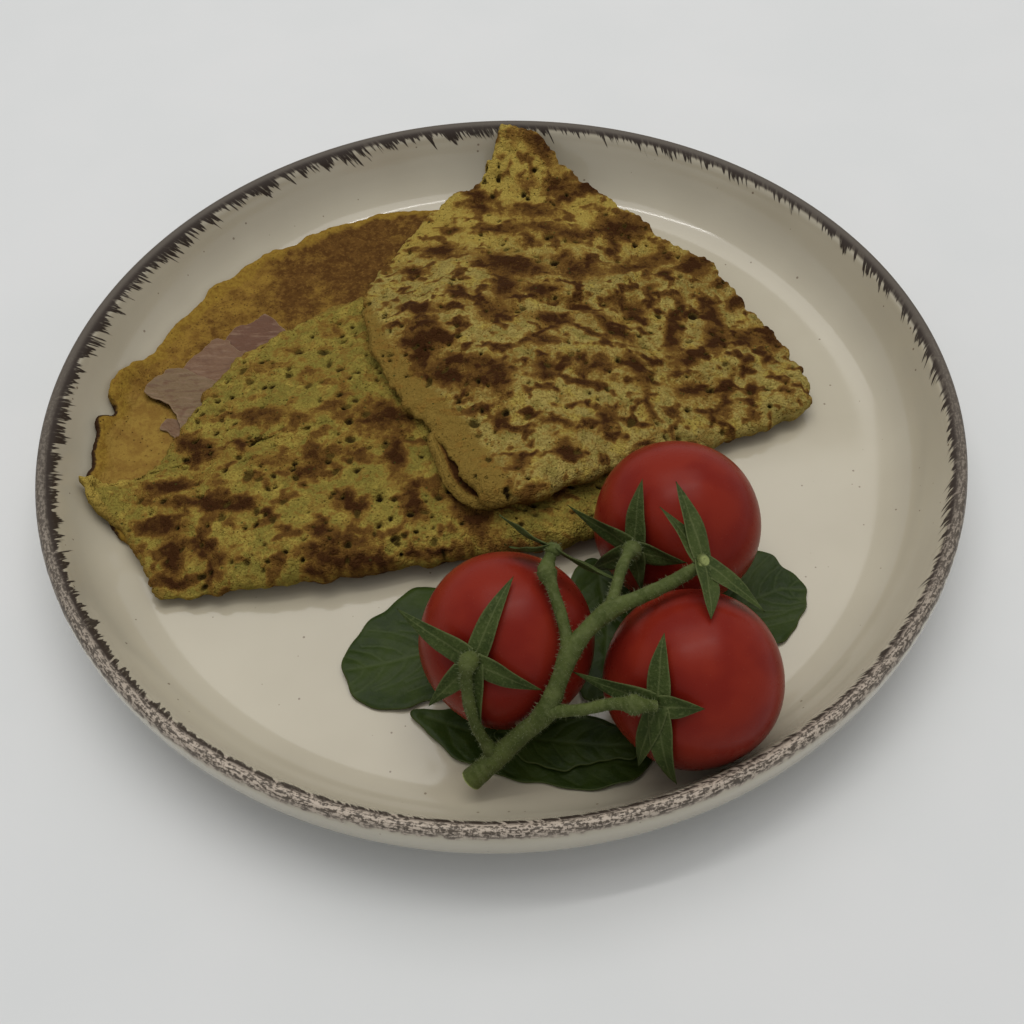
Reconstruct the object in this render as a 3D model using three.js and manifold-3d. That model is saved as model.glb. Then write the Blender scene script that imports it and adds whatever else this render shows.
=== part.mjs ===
// Two folded potato pancakes with ham, three tomatoes on their vine and a few spinach leaves,
// served together on a round stoneware plate.
// Millimetres, +Z up. The origin is at the centre of the foot ring, on the table.
// -Y is the side of the plate that is nearest to the diner.

import * as THREE from "three";
import { mergeVertices } from "three/addons/utils/BufferGeometryUtils.js";
import Module from "manifold-3d";

const wasm = await Module();
wasm.setup();

// ---------------------------------------------------------------- driving dimensions

const plateRadius = 132.5;
const plateHeight = 28;
const plateFloorHeight = 6;
const plateFloorRadius = 104;
const footInnerRadius = 79;
const footOuterRadius = 83;
const plateSides = 54;

const gap = 0.35; // between pieces that touch
const sliver = 0.03; // smaller steps are smoothed out
const sheetThickness = 2.6; // one layer of pancake
const gridCells = 24; // cells across the mesh of a pancake

const sheetEdgeWidth = 2; // over which a single layer rounds off
const sheetWave = 0.35;
const turnedFlapRise = 0.7; // of the part of the lower layer that is turned in
const openEdgeWidth = { left: 2.4, right: 2.6 };
const wholeFold = 5; // up to this far in from a folded edge, the pancake is all fold
const noFold = 16; // and from here on it is not

const leftRawHeight = 5.6; // of the folded layer at its open edge, over the plate
const leftMidHeight = 12.2;
const leftRise = 34; // width over which it swells to that height
const leftFoldWidth = 9;
const leftLift = 0.8; // of its underside, off the plate
const leftLean = 0.7; // how far it keeps its thickness across, where it leans on the wall
const overHam = { height: 2.7, centre: [-80, 30], width: 34 };
const pinch = { depth: 3.2, centre: [-104, -22], width: 13 };

const hamThickness = 2;
const hamRuffle = 1.1;
const hamRuffleLength = 15;
const hamEdgeWidth = 1.2;
const hamPress = 0.3; // into the layer below it
const hamPocket = 1.7 * gap; // wider all round than the ham

const rightEdgeThickness = 4.3;
const rightMidThickness = 8.6;
const rightTipThickness = 2.8;
const rightRise = 30;
const rightFoldWidth = 6.5;
const rightTip = { from: 84, to: 112 }; // where along Y the pancake thins out
const rightCalm = 12; // no creases nearer to its edge than about this
const slit = { height: 2.6, above: 1.1, below: 0.3 }; // over what the pancake lies on
const flap = { height: 1.1, above: 1.2, below: 1.1 };
const flapEdgeWidth = 2;

const leafThickness = 0.55;

const stalkRadii = [2.9, 1.7]; // at the cut end and at the last bare star
const pedicelRadii = [1.65, 1.55];
const knuckleRadius = 2.7;
const calyxHubRadius = 2; // where the sepals of a fruit meet
const bareHubRadius = 1.8;

// ---------------------------------------------------------------- small helpers

const clamp = (x, low, high) => Math.min(high, Math.max(low, x));
const blend = (a, b, t) => a + (b - a) * t;
const vector = (point) => new THREE.Vector3(...point);

function smooth(low, high, x) {
  const t = clamp((x - low) / (high - low), 0, 1);
  return t * t * (3 - 2 * t);
}

// A quarter ellipse: 0 at the edge, 1 from the given width inwards.
function rounded(depth, width) {
  const s = 1 - clamp(depth / width, 0, 1);
  return Math.sqrt(1 - s * s);
}

function bump(x, y, centre, radius) {
  const d2 = (x - centre[0]) ** 2 + (y - centre[1]) ** 2;
  return Math.exp(-d2 / (radius * radius));
}

function segmentDistance(x, y, a, b) {
  const [dx, dy] = [b[0] - a[0], b[1] - a[1]];
  const along = ((x - a[0]) * dx + (y - a[1]) * dy) / (dx * dx + dy * dy);
  const t = clamp(along, 0, 1);
  return Math.hypot(x - a[0] - t * dx, y - a[1] - t * dy);
}

function pathDistance(x, y, path) {
  let nearest = Infinity;
  for (let i = 1; i < path.length; i++) {
    nearest = Math.min(nearest, segmentDistance(x, y, path[i - 1], path[i]));
  }
  return nearest;
}

function solidOf(geometry) {
  const bare = geometry.clone();
  bare.deleteAttribute("normal");
  bare.deleteAttribute("uv");
  const merged = mergeVertices(bare, 1e-4);
  return new wasm.Manifold(new wasm.Mesh({
    numProp: 3,
    vertProperties: new Float32Array(merged.attributes.position.array),
    triVerts: new Uint32Array(merged.index.array),
  }));
}

function geometryOf(solid) {
  const mesh = solid.getMesh();
  const geometry = new THREE.BufferGeometry();
  geometry.setAttribute("position", new THREE.BufferAttribute(new Float32Array(mesh.vertProperties), 3));
  geometry.setIndex(new THREE.BufferAttribute(new Uint32Array(mesh.triVerts), 1));
  return geometry;
}

function solidFacingOut(positions, index) {
  const geometry = new THREE.BufferGeometry();
  geometry.setAttribute("position", new THREE.Float32BufferAttribute(positions, 3));
  geometry.setIndex(index);
  const solid = solidOf(geometry);
  if (solid.volume() > 0) return solid;
  return solidOf(geometry.setIndex(index.reverse()));
}

const joined = (solids) => solids.reduce((whole, next) => whole.add(next));

// The body itself, without loose scraps or the slivers that joining leaves.
function oneBody(solid) {
  const main = solid.decompose().reduce((a, b) => (b.volume() > a.volume() ? b : a));
  return main.asOriginal().simplify(sliver);
}

// ---------------------------------------------------------------- flat food on the plate

// A closed smooth outline through a few points, with a little waviness, seen from above.
function outlineThrough(points, waviness = 0, waves = 0) {
  const flat = points.map(([x, y]) => new THREE.Vector2(x, y));
  if (THREE.ShapeUtils.isClockWise(flat)) flat.reverse();
  const curve = new THREE.CatmullRomCurve3(flat.map((p) => new THREE.Vector3(p.x, p.y, 0)), true,
    "catmullrom", 0.5);
  const samples = 480;
  const spots = curve.getSpacedPoints(samples).slice(0, samples);
  return spots.map((p, i) => {
    const before = spots[(i + samples - 1) % samples];
    const after = spots[(i + 1) % samples];
    const out = new THREE.Vector2(after.y - before.y, before.x - after.x).normalize();
    const phase = (2 * Math.PI * i) / samples;
    const shift = waviness * (Math.sin(waves * phase) + 0.6 * Math.sin(1.7 * waves * phase + 1));
    return [p.x + out.x * shift, p.y + out.y * shift];
  });
}

function outlinePoint(outline, share) {
  const place = (share - Math.floor(share)) * outline.length;
  const i = Math.floor(place) % outline.length;
  const [a, b] = [outline[i], outline[(i + 1) % outline.length]];
  const t = place - Math.floor(place);
  return [blend(a[0], b[0], t), blend(a[1], b[1], t)];
}

// Where a cell corner of a square grid lies on a disc: share of the radius, share of the turn.
function squareToDisc(a, b) {
  if (a === 0 && b === 0) return [0, 0];
  const wide = Math.abs(a) > Math.abs(b);
  const radius = wide ? Math.abs(a) : Math.abs(b);
  let turn = wide ? b / a / 8 : 0.25 - a / b / 8;
  if ((wide ? a : b) < 0) turn += 0.5;
  return [radius, turn];
}

// A closed solid over an outline, between two heights that meet on the outline itself.
// The heights are functions of x, y and the distance from the outline.
function lensSolid(outline, centre, top, bottom, cells = gridCells, crowding = 1.35) {
  const closedOutline = [...outline, outline[0]];
  const positions = [];
  const index = [];
  const topNumber = [];
  const bottomNumber = [];
  for (let j = 0; j <= cells; j++) {
    for (let i = 0; i <= cells; i++) {
      const [radius, turn] = squareToDisc((2 * i) / cells - 1, (2 * j) / cells - 1);
      const reach = 1 - (1 - radius) ** crowding;
      const edge = outlinePoint(outline, turn);
      const x = centre[0] + reach * (edge[0] - centre[0]);
      const y = centre[1] + reach * (edge[1] - centre[1]);
      const onEdge = radius > 1 - 1e-9;
      const depth = onEdge ? 0 : pathDistance(x, y, closedOutline);
      topNumber.push(positions.length / 3);
      positions.push(x, y, top(x, y, depth));
      if (onEdge) {
        bottomNumber.push(topNumber[topNumber.length - 1]);
      } else {
        bottomNumber.push(positions.length / 3);
        positions.push(x, y, bottom(x, y, depth));
      }
    }
  }
  const face = (a, b, c) => {
    if (a !== b && b !== c && a !== c) index.push(a, b, c);
  };
  for (let j = 0; j < cells; j++) {
    for (let i = 0; i < cells; i++) {
      const corners = [j * (cells + 1) + i, j * (cells + 1) + i + 1,
        (j + 1) * (cells + 1) + i + 1, (j + 1) * (cells + 1) + i];
      // The diagonal runs round the disc, so that no triangle lies flat on its edge.
      const flip = (i < cells / 2) === (j < cells / 2);
      const [a, b, c, d] = flip ? [corners[1], corners[2], corners[3], corners[0]] : corners;
      face(topNumber[a], topNumber[b], topNumber[c]);
      face(topNumber[a], topNumber[c], topNumber[d]);
      face(bottomNumber[a], bottomNumber[c], bottomNumber[b]);
      face(bottomNumber[a], bottomNumber[d], bottomNumber[c]);
    }
  }
  return solidFacingOut(positions, index);
}

// ---------------------------------------------------------------- plate

// The inside from the centre to the rim, as radius and height.
const plateInside = [
  [0, plateFloorHeight], [plateFloorRadius, plateFloorHeight], [110, 6.15], [114, 6.9], [117.5, 8.6],
  [120.5, 11.3], [123, 14.8], [125, 18.8], [126.8, 23.2], [128.2, 26.4],
];
const plateRim = [[130.4, plateHeight], [131.7, 27.3], [plateRadius, 24.5]];
const plateOutside = [
  [132.2, 19], [131.2, 14.5], [129.2, 10], [126, 6.3], [121, 3.4], [112, 1.8], [84, 1],
  [footOuterRadius, 0], [footInnerRadius, 0], [78, 1.2], [0, 1.2],
];

function plateTop(x, y) {
  // The flat facets of the wall stand a little inside its circle.
  const radius = Math.hypot(x, y) / Math.cos(Math.PI / plateSides);
  for (let i = 1; i < plateInside.length; i++) {
    const [r0, z0] = plateInside[i - 1];
    const [r1, z1] = plateInside[i];
    if (radius <= r1) return blend(z0, z1, (radius - r0) / (r1 - r0));
  }
  return plateInside[plateInside.length - 1][1];
}

// How much taller an upright cut through a layer is, where the layer leans on the wall.
function wallStretch(x, y) {
  const radius = Math.hypot(x, y);
  const step = 2;
  const slope = (plateTop(radius + step, 0) - plateTop(radius - step, 0)) / (2 * step);
  return Math.hypot(1, slope);
}

function plateGeometry() {
  const profile = [...plateInside, ...plateRim, ...plateOutside].reverse();
  const geometry = new THREE.LatheGeometry(profile.map(([r, z]) => new THREE.Vector2(r, z)), plateSides);
  return geometryOf(solidOf(geometry.rotateX(Math.PI / 2)));
}

// ---------------------------------------------------------------- left pancake

// The layer that lies on the plate, and the half that is folded over it.
const lowerOutline = outlineThrough([
  [-120, -13], [-121, 7], [-118, 12], [-120, 20], [-117, 30], [-111, 40], [-98, 64], [-82, 83],
  [-61, 97], [-40, 106], [-19, 108], [8, 102], [30, 84], [40, 48], [42, 0], [34, -26],
  [0, -38], [-50, -44], [-86, -46], [-100, -38], [-112, -28],
], 0.5, 23);

const leftFoldLine = [[36, -33], [17, -42.4], [-17, -46.4], [-57, -51.4], [-86, -53.4]];
const leftOpenLine = [
  [-96, -53], [-101, -44], [-107, -34], [-121, -19], [-116, -14], [-104, -9], [-98, 4], [-91, 21],
  [-80, 36], [-64, 49], [-44, 62], [-12, 69], [26, 52], [43, 12], [44, -18],
];
const foldedOutline = outlineThrough([...leftFoldLine, ...leftOpenLine], 0.35, 29);
const flapLine = [[-124, 17], [-109, 21], [-100, 13], [-90, -10]];

const hamOutline = outlineThrough([
  [-112, 23], [-105, 31], [-101, 34], [-94, 43], [-86, 46], [-78, 57], [-69, 50], [-40, 34],
  [-36, 4], [-62, -14], [-88, -6], [-97, 13], [-104, 19],
]);
const hamCentre = [-78, 18];
const hamNarrowest = 17;

// 1 along a folded edge, and 0 well away from it.
const nearFold = (x, y, foldLine) => smooth(noFold, wholeFold, pathDistance(x, y, foldLine));

function lowerTop(x, y) {
  const turnedIn = smooth(4, 0, pathDistance(x, y, flapLine)) * turnedFlapRise;
  const waves = sheetWave * Math.sin(x / 7 + 1) * Math.sin(y / 9);
  return plateTop(x, y) + gap + (sheetThickness + turnedIn + waves) * wallStretch(x, y);
}

// The ham's weight presses it a little into the layer below.
function hamBottom(x, y) {
  return lowerTop(x, y) - hamPress;
}

// Three ruffles lie over one another like shingles.
function hamTop(x, y) {
  const along = 0.75 * (x + 112) + 0.66 * (y - 22);
  const ruffle = (along / hamRuffleLength) % 1;
  return hamBottom(x, y) + hamThickness + hamRuffle * (1 - Math.abs(ruffle)) * smooth(0, 4, along);
}

function leftTop(x, y) {
  const rise = smooth(0, leftRise, pathDistance(x, y, leftOpenLine));
  const raw = leftRawHeight + overHam.height * bump(x, y, overHam.centre, overHam.width);
  const pinched = pinch.depth * bump(x, y, pinch.centre, pinch.width) * rise;
  const waves = 0.55 * Math.sin(x / 11) * Math.sin(y / 8 + 0.5) + 0.3 * Math.sin(x / 5 + y / 6);
  const height = blend(raw, leftMidHeight, rise) - pinched + waves * rise;
  return plateTop(x, y) + gap + height * blend(1, wallStretch(x, y), leftLean);
}

function leftMiddle(x, y) {
  const low = plateTop(x, y) + gap;
  return blend(low + leftRawHeight * 0.65, blend(low, leftTop(x, y), 0.5), nearFold(x, y, leftFoldLine));
}

function leftEdgeWidth(x, y) {
  return blend(openEdgeWidth.left, leftFoldWidth, nearFold(x, y, leftFoldLine));
}

function leftPancake() {
  const low = (x, y) => plateTop(x, y) + gap;
  const lowerMiddle = (x, y) => blend(low(x, y), lowerTop(x, y), 0.45);
  const lower = lensSolid(lowerOutline, [-40, 28],
    (x, y, d) => blend(lowerMiddle(x, y), lowerTop(x, y), rounded(d, sheetEdgeWidth)),
    (x, y, d) => blend(lowerMiddle(x, y), low(x, y), rounded(d, sheetEdgeWidth)), 18);
  const folded = lensSolid(foldedOutline, [-42, 2],
    (x, y, d) => blend(leftMiddle(x, y), leftTop(x, y), rounded(d, leftEdgeWidth(x, y))),
    (x, y, d) => blend(leftMiddle(x, y), low(x, y) + leftLift, rounded(d, leftEdgeWidth(x, y))));
  return oneBody(lower.add(folded).subtract(hamSlab(hamPocket)));
}

// The ham, grown all round by the given amount when it makes its own pocket.
function hamSlab(growth) {
  const scale = 1 + growth / hamNarrowest;
  const [cx, cy] = hamCentre;
  const outline = hamOutline.map(([x, y]) => [cx + (x - cx) * scale, cy + (y - cy) * scale]);
  const height = (surface, x, y, share) => {
    const [u, v] = [cx + (x - cx) / scale, cy + (y - cy) / scale];
    const middle = blend(hamBottom(u, v), hamTop(u, v), 0.5);
    return blend(middle, surface(u, v), share);
  };
  return lensSolid(outline, hamCentre,
    (x, y, d) => height(hamTop, x, y, rounded(d, hamEdgeWidth)) + growth,
    (x, y, d) => height(hamBottom, x, y, rounded(d, hamEdgeWidth)) - growth, 12);
}

// ---------------------------------------------------------------- right pancake

const rightFoldLine = [[94, 6], [86.6, 1], [72, -4.5], [40.5, -17.3], [16.5, -31.6], [1, -36.5]];
const rightOpenLine = [
  [-6, -34.5], [-12.5, -22], [-20, -8], [-29, 5], [-38, 25], [-42.5, 56], [-32, 83], [-18, 102.5],
  [-5, 110], [0, 118.5], [4, 126.4], [10, 126.2], [15.5, 125], [21, 119.5], [28, 111], [49, 92.5],
  [59, 80.5], [72, 70], [80.5, 53], [92, 30], [95.5, 13],
];
const rightOutline = outlineThrough([...rightFoldLine, ...rightOpenLine], 0.4, 31);

// The pancake sags like a sheet from what it lies on: a net of heights over plate and neighbour.
const net = { x: -60, y: -60, step: 3, columns: 60, rows: 68, load: 0.055, rounds: 500 };
const restGap = 1; // of the upper pancake over what it lies on

function drapedNet() {
  const { columns, rows, step } = net;
  const floor = new Float64Array(columns * rows);
  for (let j = 0; j < rows; j++) {
    for (let i = 0; i < columns; i++) {
      const [x, y] = [net.x + i * step, net.y + j * step];
      let under = plateTop(x, y);
      if (insideOutline(x, y, lowerOutline)) under = lowerTop(x, y);
      if (insideOutline(x, y, foldedOutline)) under = Math.max(under, foldedSurface(x, y));
      floor[j * columns + i] = under + restGap;
    }
  }
  const heights = Float64Array.from(floor);
  for (let round = 0; round < net.rounds; round++) {
    for (let j = 1; j < rows - 1; j++) {
      for (let i = 1; i < columns - 1; i++) {
        const n = j * columns + i;
        const mean = (heights[n - 1] + heights[n + 1] + heights[n - columns] + heights[n + columns]) / 4;
        heights[n] = Math.max(floor[n], mean - net.load);
      }
    }
  }
  return heights;
}

function insideOutline(x, y, outline) {
  let inside = false;
  for (let i = 0, j = outline.length - 1; i < outline.length; j = i++) {
    const [a, b] = [outline[i], outline[j]];
    const crosses = (a[1] > y) !== (b[1] > y);
    if (crosses && x < ((b[0] - a[0]) * (y - a[1])) / (b[1] - a[1]) + a[0]) inside = !inside;
  }
  return inside;
}

function foldedSurface(x, y) {
  const depth = pathDistance(x, y, [...foldedOutline, foldedOutline[0]]);
  return blend(leftMiddle(x, y), leftTop(x, y), rounded(depth, leftEdgeWidth(x, y)));
}

const netHeights = drapedNet();

function rightBottom(x, y) {
  const u = clamp((x - net.x) / net.step, 0, net.columns - 1.001);
  const v = clamp((y - net.y) / net.step, 0, net.rows - 1.001);
  const [i, j] = [Math.floor(u), Math.floor(v)];
  const n = j * net.columns + i;
  const near = blend(netHeights[n], netHeights[n + 1], u - i);
  const far = blend(netHeights[n + net.columns], netHeights[n + net.columns + 1], u - i);
  return blend(near, far, v - j);
}

function netStretch(x, y) {
  const reach = net.step;
  const slopeX = (rightBottom(x + reach, y) - rightBottom(x - reach, y)) / (2 * reach);
  const slopeY = (rightBottom(x, y + reach) - rightBottom(x, y - reach)) / (2 * reach);
  return Math.hypot(1, slopeX, slopeY);
}

const rightCreases = [
  { line: [[0, 50], [30, 52], [62, 62]], height: 1.5, width: 6 },
  { line: [[16, 44], [44, 46]], height: -1.2, width: 4 },
  { line: [[20, 20], [58, 24], [88, 26]], height: 1.1, width: 5 },
];

function rightTop(x, y) {
  const fromOpen = pathDistance(x, y, rightOpenLine);
  const fromFold = pathDistance(x, y, rightFoldLine);
  const edge = blend(rightEdgeThickness, rightMidThickness, smooth(22, 6, fromFold));
  const body = blend(edge, rightMidThickness, smooth(0, rightRise, fromOpen));
  const thickness = blend(body, rightTipThickness, smooth(rightTip.from, rightTip.to, y));
  let relief = 0.4 * Math.sin(x / 8 + 2) * Math.sin(y / 7);
  for (const { line, height, width } of rightCreases) {
    relief += height * Math.exp(-((pathDistance(x, y, line) / width) ** 2));
  }
  const calm = smooth(0, rightCalm, Math.min(fromOpen, fromFold)) * smooth(rightTip.to, 90, y);
  return rightBottom(x, y) + (thickness + relief * calm) * netStretch(x, y);
}

function rightMiddle(x, y) {
  const share = blend(0.55, 0.5, nearFold(x, y, rightFoldLine));
  return blend(rightBottom(x, y), rightTop(x, y), share);
}

function rightEdgeWidth(x, y) {
  return blend(openEdgeWidth.right, rightFoldWidth, nearFold(x, y, rightFoldLine));
}

// The lowest layer looks out along the open left side, with a slit over it.
const flapOutline = outlineThrough([
  [-1, -34.5], [-8.5, -34.5], [-15, -28.5], [-18.5, -20], [-21, -9], [-15, -8], [-8, -18], [-2, -27],
]);
const slitOutline = outlineThrough([
  [-6, -35], [-13, -33], [-19, -24], [-21, -15], [-12, -17], [-7, -26],
]);

// A thin lens that lies at a height over the pancake's underside.
function sideLens(outline, centre, { height, above, below }, cells) {
  return lensSolid(outline, centre,
    (x, y, d) => rightBottom(x, y) + height + above * rounded(d, flapEdgeWidth),
    (x, y, d) => rightBottom(x, y) + height - below * rounded(d, flapEdgeWidth), cells);
}

function rightPancake() {
  const body = lensSolid(rightOutline, [26, 42],
    (x, y, d) => blend(rightMiddle(x, y), rightTop(x, y), rounded(d, rightEdgeWidth(x, y))),
    (x, y, d) => blend(rightMiddle(x, y), rightBottom(x, y), rounded(d, rightEdgeWidth(x, y))));
  return oneBody(body.subtract(sideLens(slitOutline, [-14, -24], slit, 8))
    .add(sideLens(flapOutline, [-12, -22], flap, 10)));
}

// ---------------------------------------------------------------- tomatoes

// Each fruit leans on the leaves with its stem end turned up and towards the diner.
const tomatoes = {
  left: { centre: [0, -81.9, 28.7], radius: 22, facing: [-0.354, -0.652, 0.67] },
  right: { centre: [44.7, -94.8, 28.7], radius: 21.9, facing: [-0.494, -0.631, 0.598] },
  top: { centre: [46, -48.5, 28.9], radius: 22.1, facing: [-0.591, -0.675, 0.443] },
};
const tomatoFlattening = 0.05;
const dimpleDepth = 1.6;
const dimpleWidth = 0.3; // radians from the stem end

// Distance of the skin from the centre, by the angle from the stem end.
function tomatoSkin(radius, angle) {
  const dimple = dimpleDepth * Math.exp(-((angle / dimpleWidth) ** 2));
  return radius * (1 - tomatoFlattening * Math.cos(angle) ** 2) - dimple;
}

function facingTurn(facing) {
  return new THREE.Quaternion().setFromUnitVectors(new THREE.Vector3(0, 0, 1), vector(facing).normalize());
}

function tomatoGeometry({ radius }) {
  const rings = 12;
  const sides = 20;
  const profile = [];
  for (let i = 0; i <= rings; i++) {
    const angle = Math.PI * (1 - i / rings);
    const skin = tomatoSkin(radius, angle);
    profile.push(new THREE.Vector2(Math.max(0, skin * Math.sin(angle)), skin * Math.cos(angle)));
  }
  profile[0].x = 0;
  profile[rings].x = 0;
  return geometryOf(solidOf(new THREE.LatheGeometry(profile, sides).rotateX(Math.PI / 2)));
}

// ---------------------------------------------------------------- vine

const stalkRoute = [
  [-10, -111.5, 12.5], [-3.4, -108.5, 18.5], [2.6, -106.6, 26], [8.4, -105.1, 34], [12.2, -99.9, 41],
  [14.9, -95.2, 45], [20.1, -89.9, 47.5], [25, -86.4, 48.5], [31.7, -83.9, 49.2], [39, -80.8, 50],
  [46.4, -77, 51],
];
const pedicelRoutes = [
  [[-4.5, -107.6, 19.5], [-7.7, -105.3, 28], [-9.2, -102, 36], [-9.5, -99, 42], [-8.6, -96.8, 45.2],
    [-7.6, -95.8, 42.4]],
  [[8.9, -105.2, 35], [16.4, -107.1, 38.7], [23.5, -107.6, 42], [28.7, -109.1, 44], [33.3, -108.9, 42.6]],
  [[14.7, -94.8, 44.8], [13.2, -88.3, 48.5], [11.2, -81.6, 51.5], [10.2, -77.5, 52.6], [11.4, -73.8, 53.8]],
  [[24.5, -87.1, 48.3], [26.4, -80.3, 48], [28.7, -73.5, 47.5], [31.2, -68.2, 45.5], [33.6, -63, 39]],
];
// The swollen joint of each short stem: which stem, and how far along it.
const knuckles = [[0, 0.88], [1, 0.8], [2, 0.8], [3, 0.72]];

// Sepals on a fruit: turn about the stem end in degrees, length, and how far the tip lifts off.
const fruitSepals = {
  left: [[168, 17.8, 9], [89, 22.5, 0.8], [354, 17.2, 1], [243, 15.7, 4.5], [282, 26.6, 2.2]],
  right: [[115, 16.3, 1.5], [188, 16.3, 10], [27, 10.6, 1], [296, 23.5, 2.8], [271, 20, 2.5]],
  top: [[113, 17.5, 2], [176, 16.5, 9], [14, 13.4, 1], [234, 18.2, 3], [295, 11.8, 1]],
};
// Bare sepal stars where two fruits have dropped off: turn, length and lean towards the front.
const bareStars = [
  {
    hub: [11.9, -72.6, 54], facing: [0.35, 0.799, 0.489], bow: -0.6,
    sepals: [[337, 18.9, 14], [339, 12.4, -11], [202, 18.2, -6]],
  },
  {
    hub: [47, -75.9, 51], facing: [0.501, -0.351, 0.791], bow: 0.8,
    sepals: [[67, 16.8, -21], [47, 21.4, -14], [208, 16.1, 22], [263, 18.6, 25]],
  },
];
const sepalWidth = 6.1;
const sepalThickness = 0.9;

const stemPath = (route) => new THREE.CatmullRomCurve3(route.map(vector), false, "centripetal");

// A round stem along a route, with its radius at the two ends.
function stem(route, [firstRadius, lastRadius], steps) {
  const path = stemPath(route);
  const { normals, binormals } = path.computeFrenetFrames(steps);
  const sides = 6;
  const positions = [];
  const index = [];
  for (let i = 0; i <= steps; i++) {
    const radius = blend(firstRadius, lastRadius, i / steps);
    for (let k = 0; k < sides; k++) {
      const angle = (2 * Math.PI * k) / sides;
      const corner = path.getPointAt(i / steps)
        .addScaledVector(normals[i], radius * Math.cos(angle))
        .addScaledVector(binormals[i], radius * Math.sin(angle));
      positions.push(...corner.toArray());
    }
  }
  for (let i = 0; i < steps; i++) {
    for (let k = 0; k < sides; k++) {
      const [a, b] = [sides * i + k, sides * i + ((k + 1) % sides)];
      index.push(a, b, b + sides, a, b + sides, a + sides);
    }
  }
  const end = sides * steps;
  for (let k = 1; k < sides - 1; k++) index.push(0, k + 1, k, end, end + k, end + k + 1);
  return solidFacingOut(positions, index);
}

function ball(centre, radius) {
  return solidOf(new THREE.SphereGeometry(radius, 6, 5).translate(...centre));
}

// A pointed leaflet along a list of places, each with its direction away from the fruit.
function sepalSolid(places, across) {
  const positions = [];
  const index = [];
  const last = places.length - 1;
  places.forEach(({ point, out }, i) => {
    const share = i / last;
    const half = (sepalWidth / 2) * Math.sin(Math.PI * (0.3 + 0.7 * share)) ** 0.9 * (1 - 0.25 * share);
    const thick = (sepalThickness / 2) * (1 - 0.5 * share);
    if (i === last) {
      positions.push(...point.toArray());
      return;
    }
    for (const [side, up] of [[-1, 0.15], [0, 1], [1, 0.15], [0, -1]]) {
      const corner = point.clone().addScaledVector(across, side * half).addScaledVector(out, up * thick);
      positions.push(...corner.toArray());
    }
  });
  index.push(0, 1, 2, 0, 2, 3);
  for (let i = 0; i < last - 1; i++) {
    for (let k = 0; k < 4; k++) {
      const [a, b] = [4 * i + k, 4 * i + ((k + 1) % 4)];
      index.push(a, a + 4, b + 4, a, b + 4, b);
    }
  }
  for (let k = 0; k < 4; k++) index.push(4 * (last - 1) + k, 4 * last, 4 * (last - 1) + ((k + 1) % 4));
  return solidFacingOut(positions, index);
}

function starAxes(facing) {
  const out = vector(facing).normalize();
  const level = new THREE.Vector3(0, 0, 1).cross(out).normalize();
  return { out, level, up: out.clone().cross(level) };
}

function direction({ level, up }, degrees) {
  const angle = THREE.MathUtils.degToRad(degrees);
  return level.clone().multiplyScalar(Math.cos(angle)).addScaledVector(up, Math.sin(angle));
}

const sepalSteps = 4;
const sepalClearance = 0.9; // of a sepal's middle from the skin

function fruitSepal({ centre, radius, facing }, [degrees, length, lift]) {
  const axes = starAxes(facing);
  const along = direction(axes, degrees);
  const places = [];
  for (let i = 0; i <= sepalSteps; i++) {
    const share = i / sepalSteps;
    const angle = (share * length) / radius;
    const skin = tomatoSkin(radius, Math.max(angle, dimpleWidth));
    const out = axes.out.clone().multiplyScalar(Math.cos(angle)).addScaledVector(along, Math.sin(angle));
    const reach = skin + sepalClearance + lift * share * share;
    places.push({ point: vector(centre).addScaledVector(out, reach), out });
  }
  return sepalSolid(places, axes.out.clone().cross(along).normalize());
}

function bareSepal({ hub, facing, bow }, [degrees, length, lean]) {
  const axes = starAxes(facing);
  const along = direction(axes, degrees);
  const tilt = THREE.MathUtils.degToRad(lean);
  const places = [];
  for (let i = 0; i <= sepalSteps; i++) {
    const share = i / sepalSteps;
    const point = vector(hub)
      .addScaledVector(along, length * share * Math.cos(tilt))
      .addScaledVector(axes.out, length * share * Math.sin(tilt) + 4 * bow * share * (1 - share));
    places.push({ point, out: axes.out });
  }
  return sepalSolid(places, axes.out.clone().cross(along).normalize());
}

function vineGeometry() {
  const pieces = [stem(stalkRoute, stalkRadii, 13)];
  for (const route of pedicelRoutes) pieces.push(stem(route, pedicelRadii, 6));
  for (const [number, share] of knuckles) {
    const place = stemPath(pedicelRoutes[number]).getPointAt(share);
    pieces.push(ball(place.toArray(), knuckleRadius));
  }
  for (const [name, sepals] of Object.entries(fruitSepals)) {
    const fruit = tomatoes[name];
    const reach = tomatoSkin(fruit.radius, dimpleWidth) + sepalClearance + 0.2;
    const hub = vector(fruit.centre).addScaledVector(vector(fruit.facing).normalize(), reach);
    pieces.push(ball(hub.toArray(), calyxHubRadius));
    for (const sepal of sepals) pieces.push(fruitSepal(fruit, sepal));
  }
  for (const star of bareStars) {
    pieces.push(ball(star.hub, bareHubRadius));
    for (const sepal of star.sepals) pieces.push(bareSepal(star, sepal));
  }
  return geometryOf(oneBody(joined(pieces)));
}

// ---------------------------------------------------------------- spinach leaves

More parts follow.
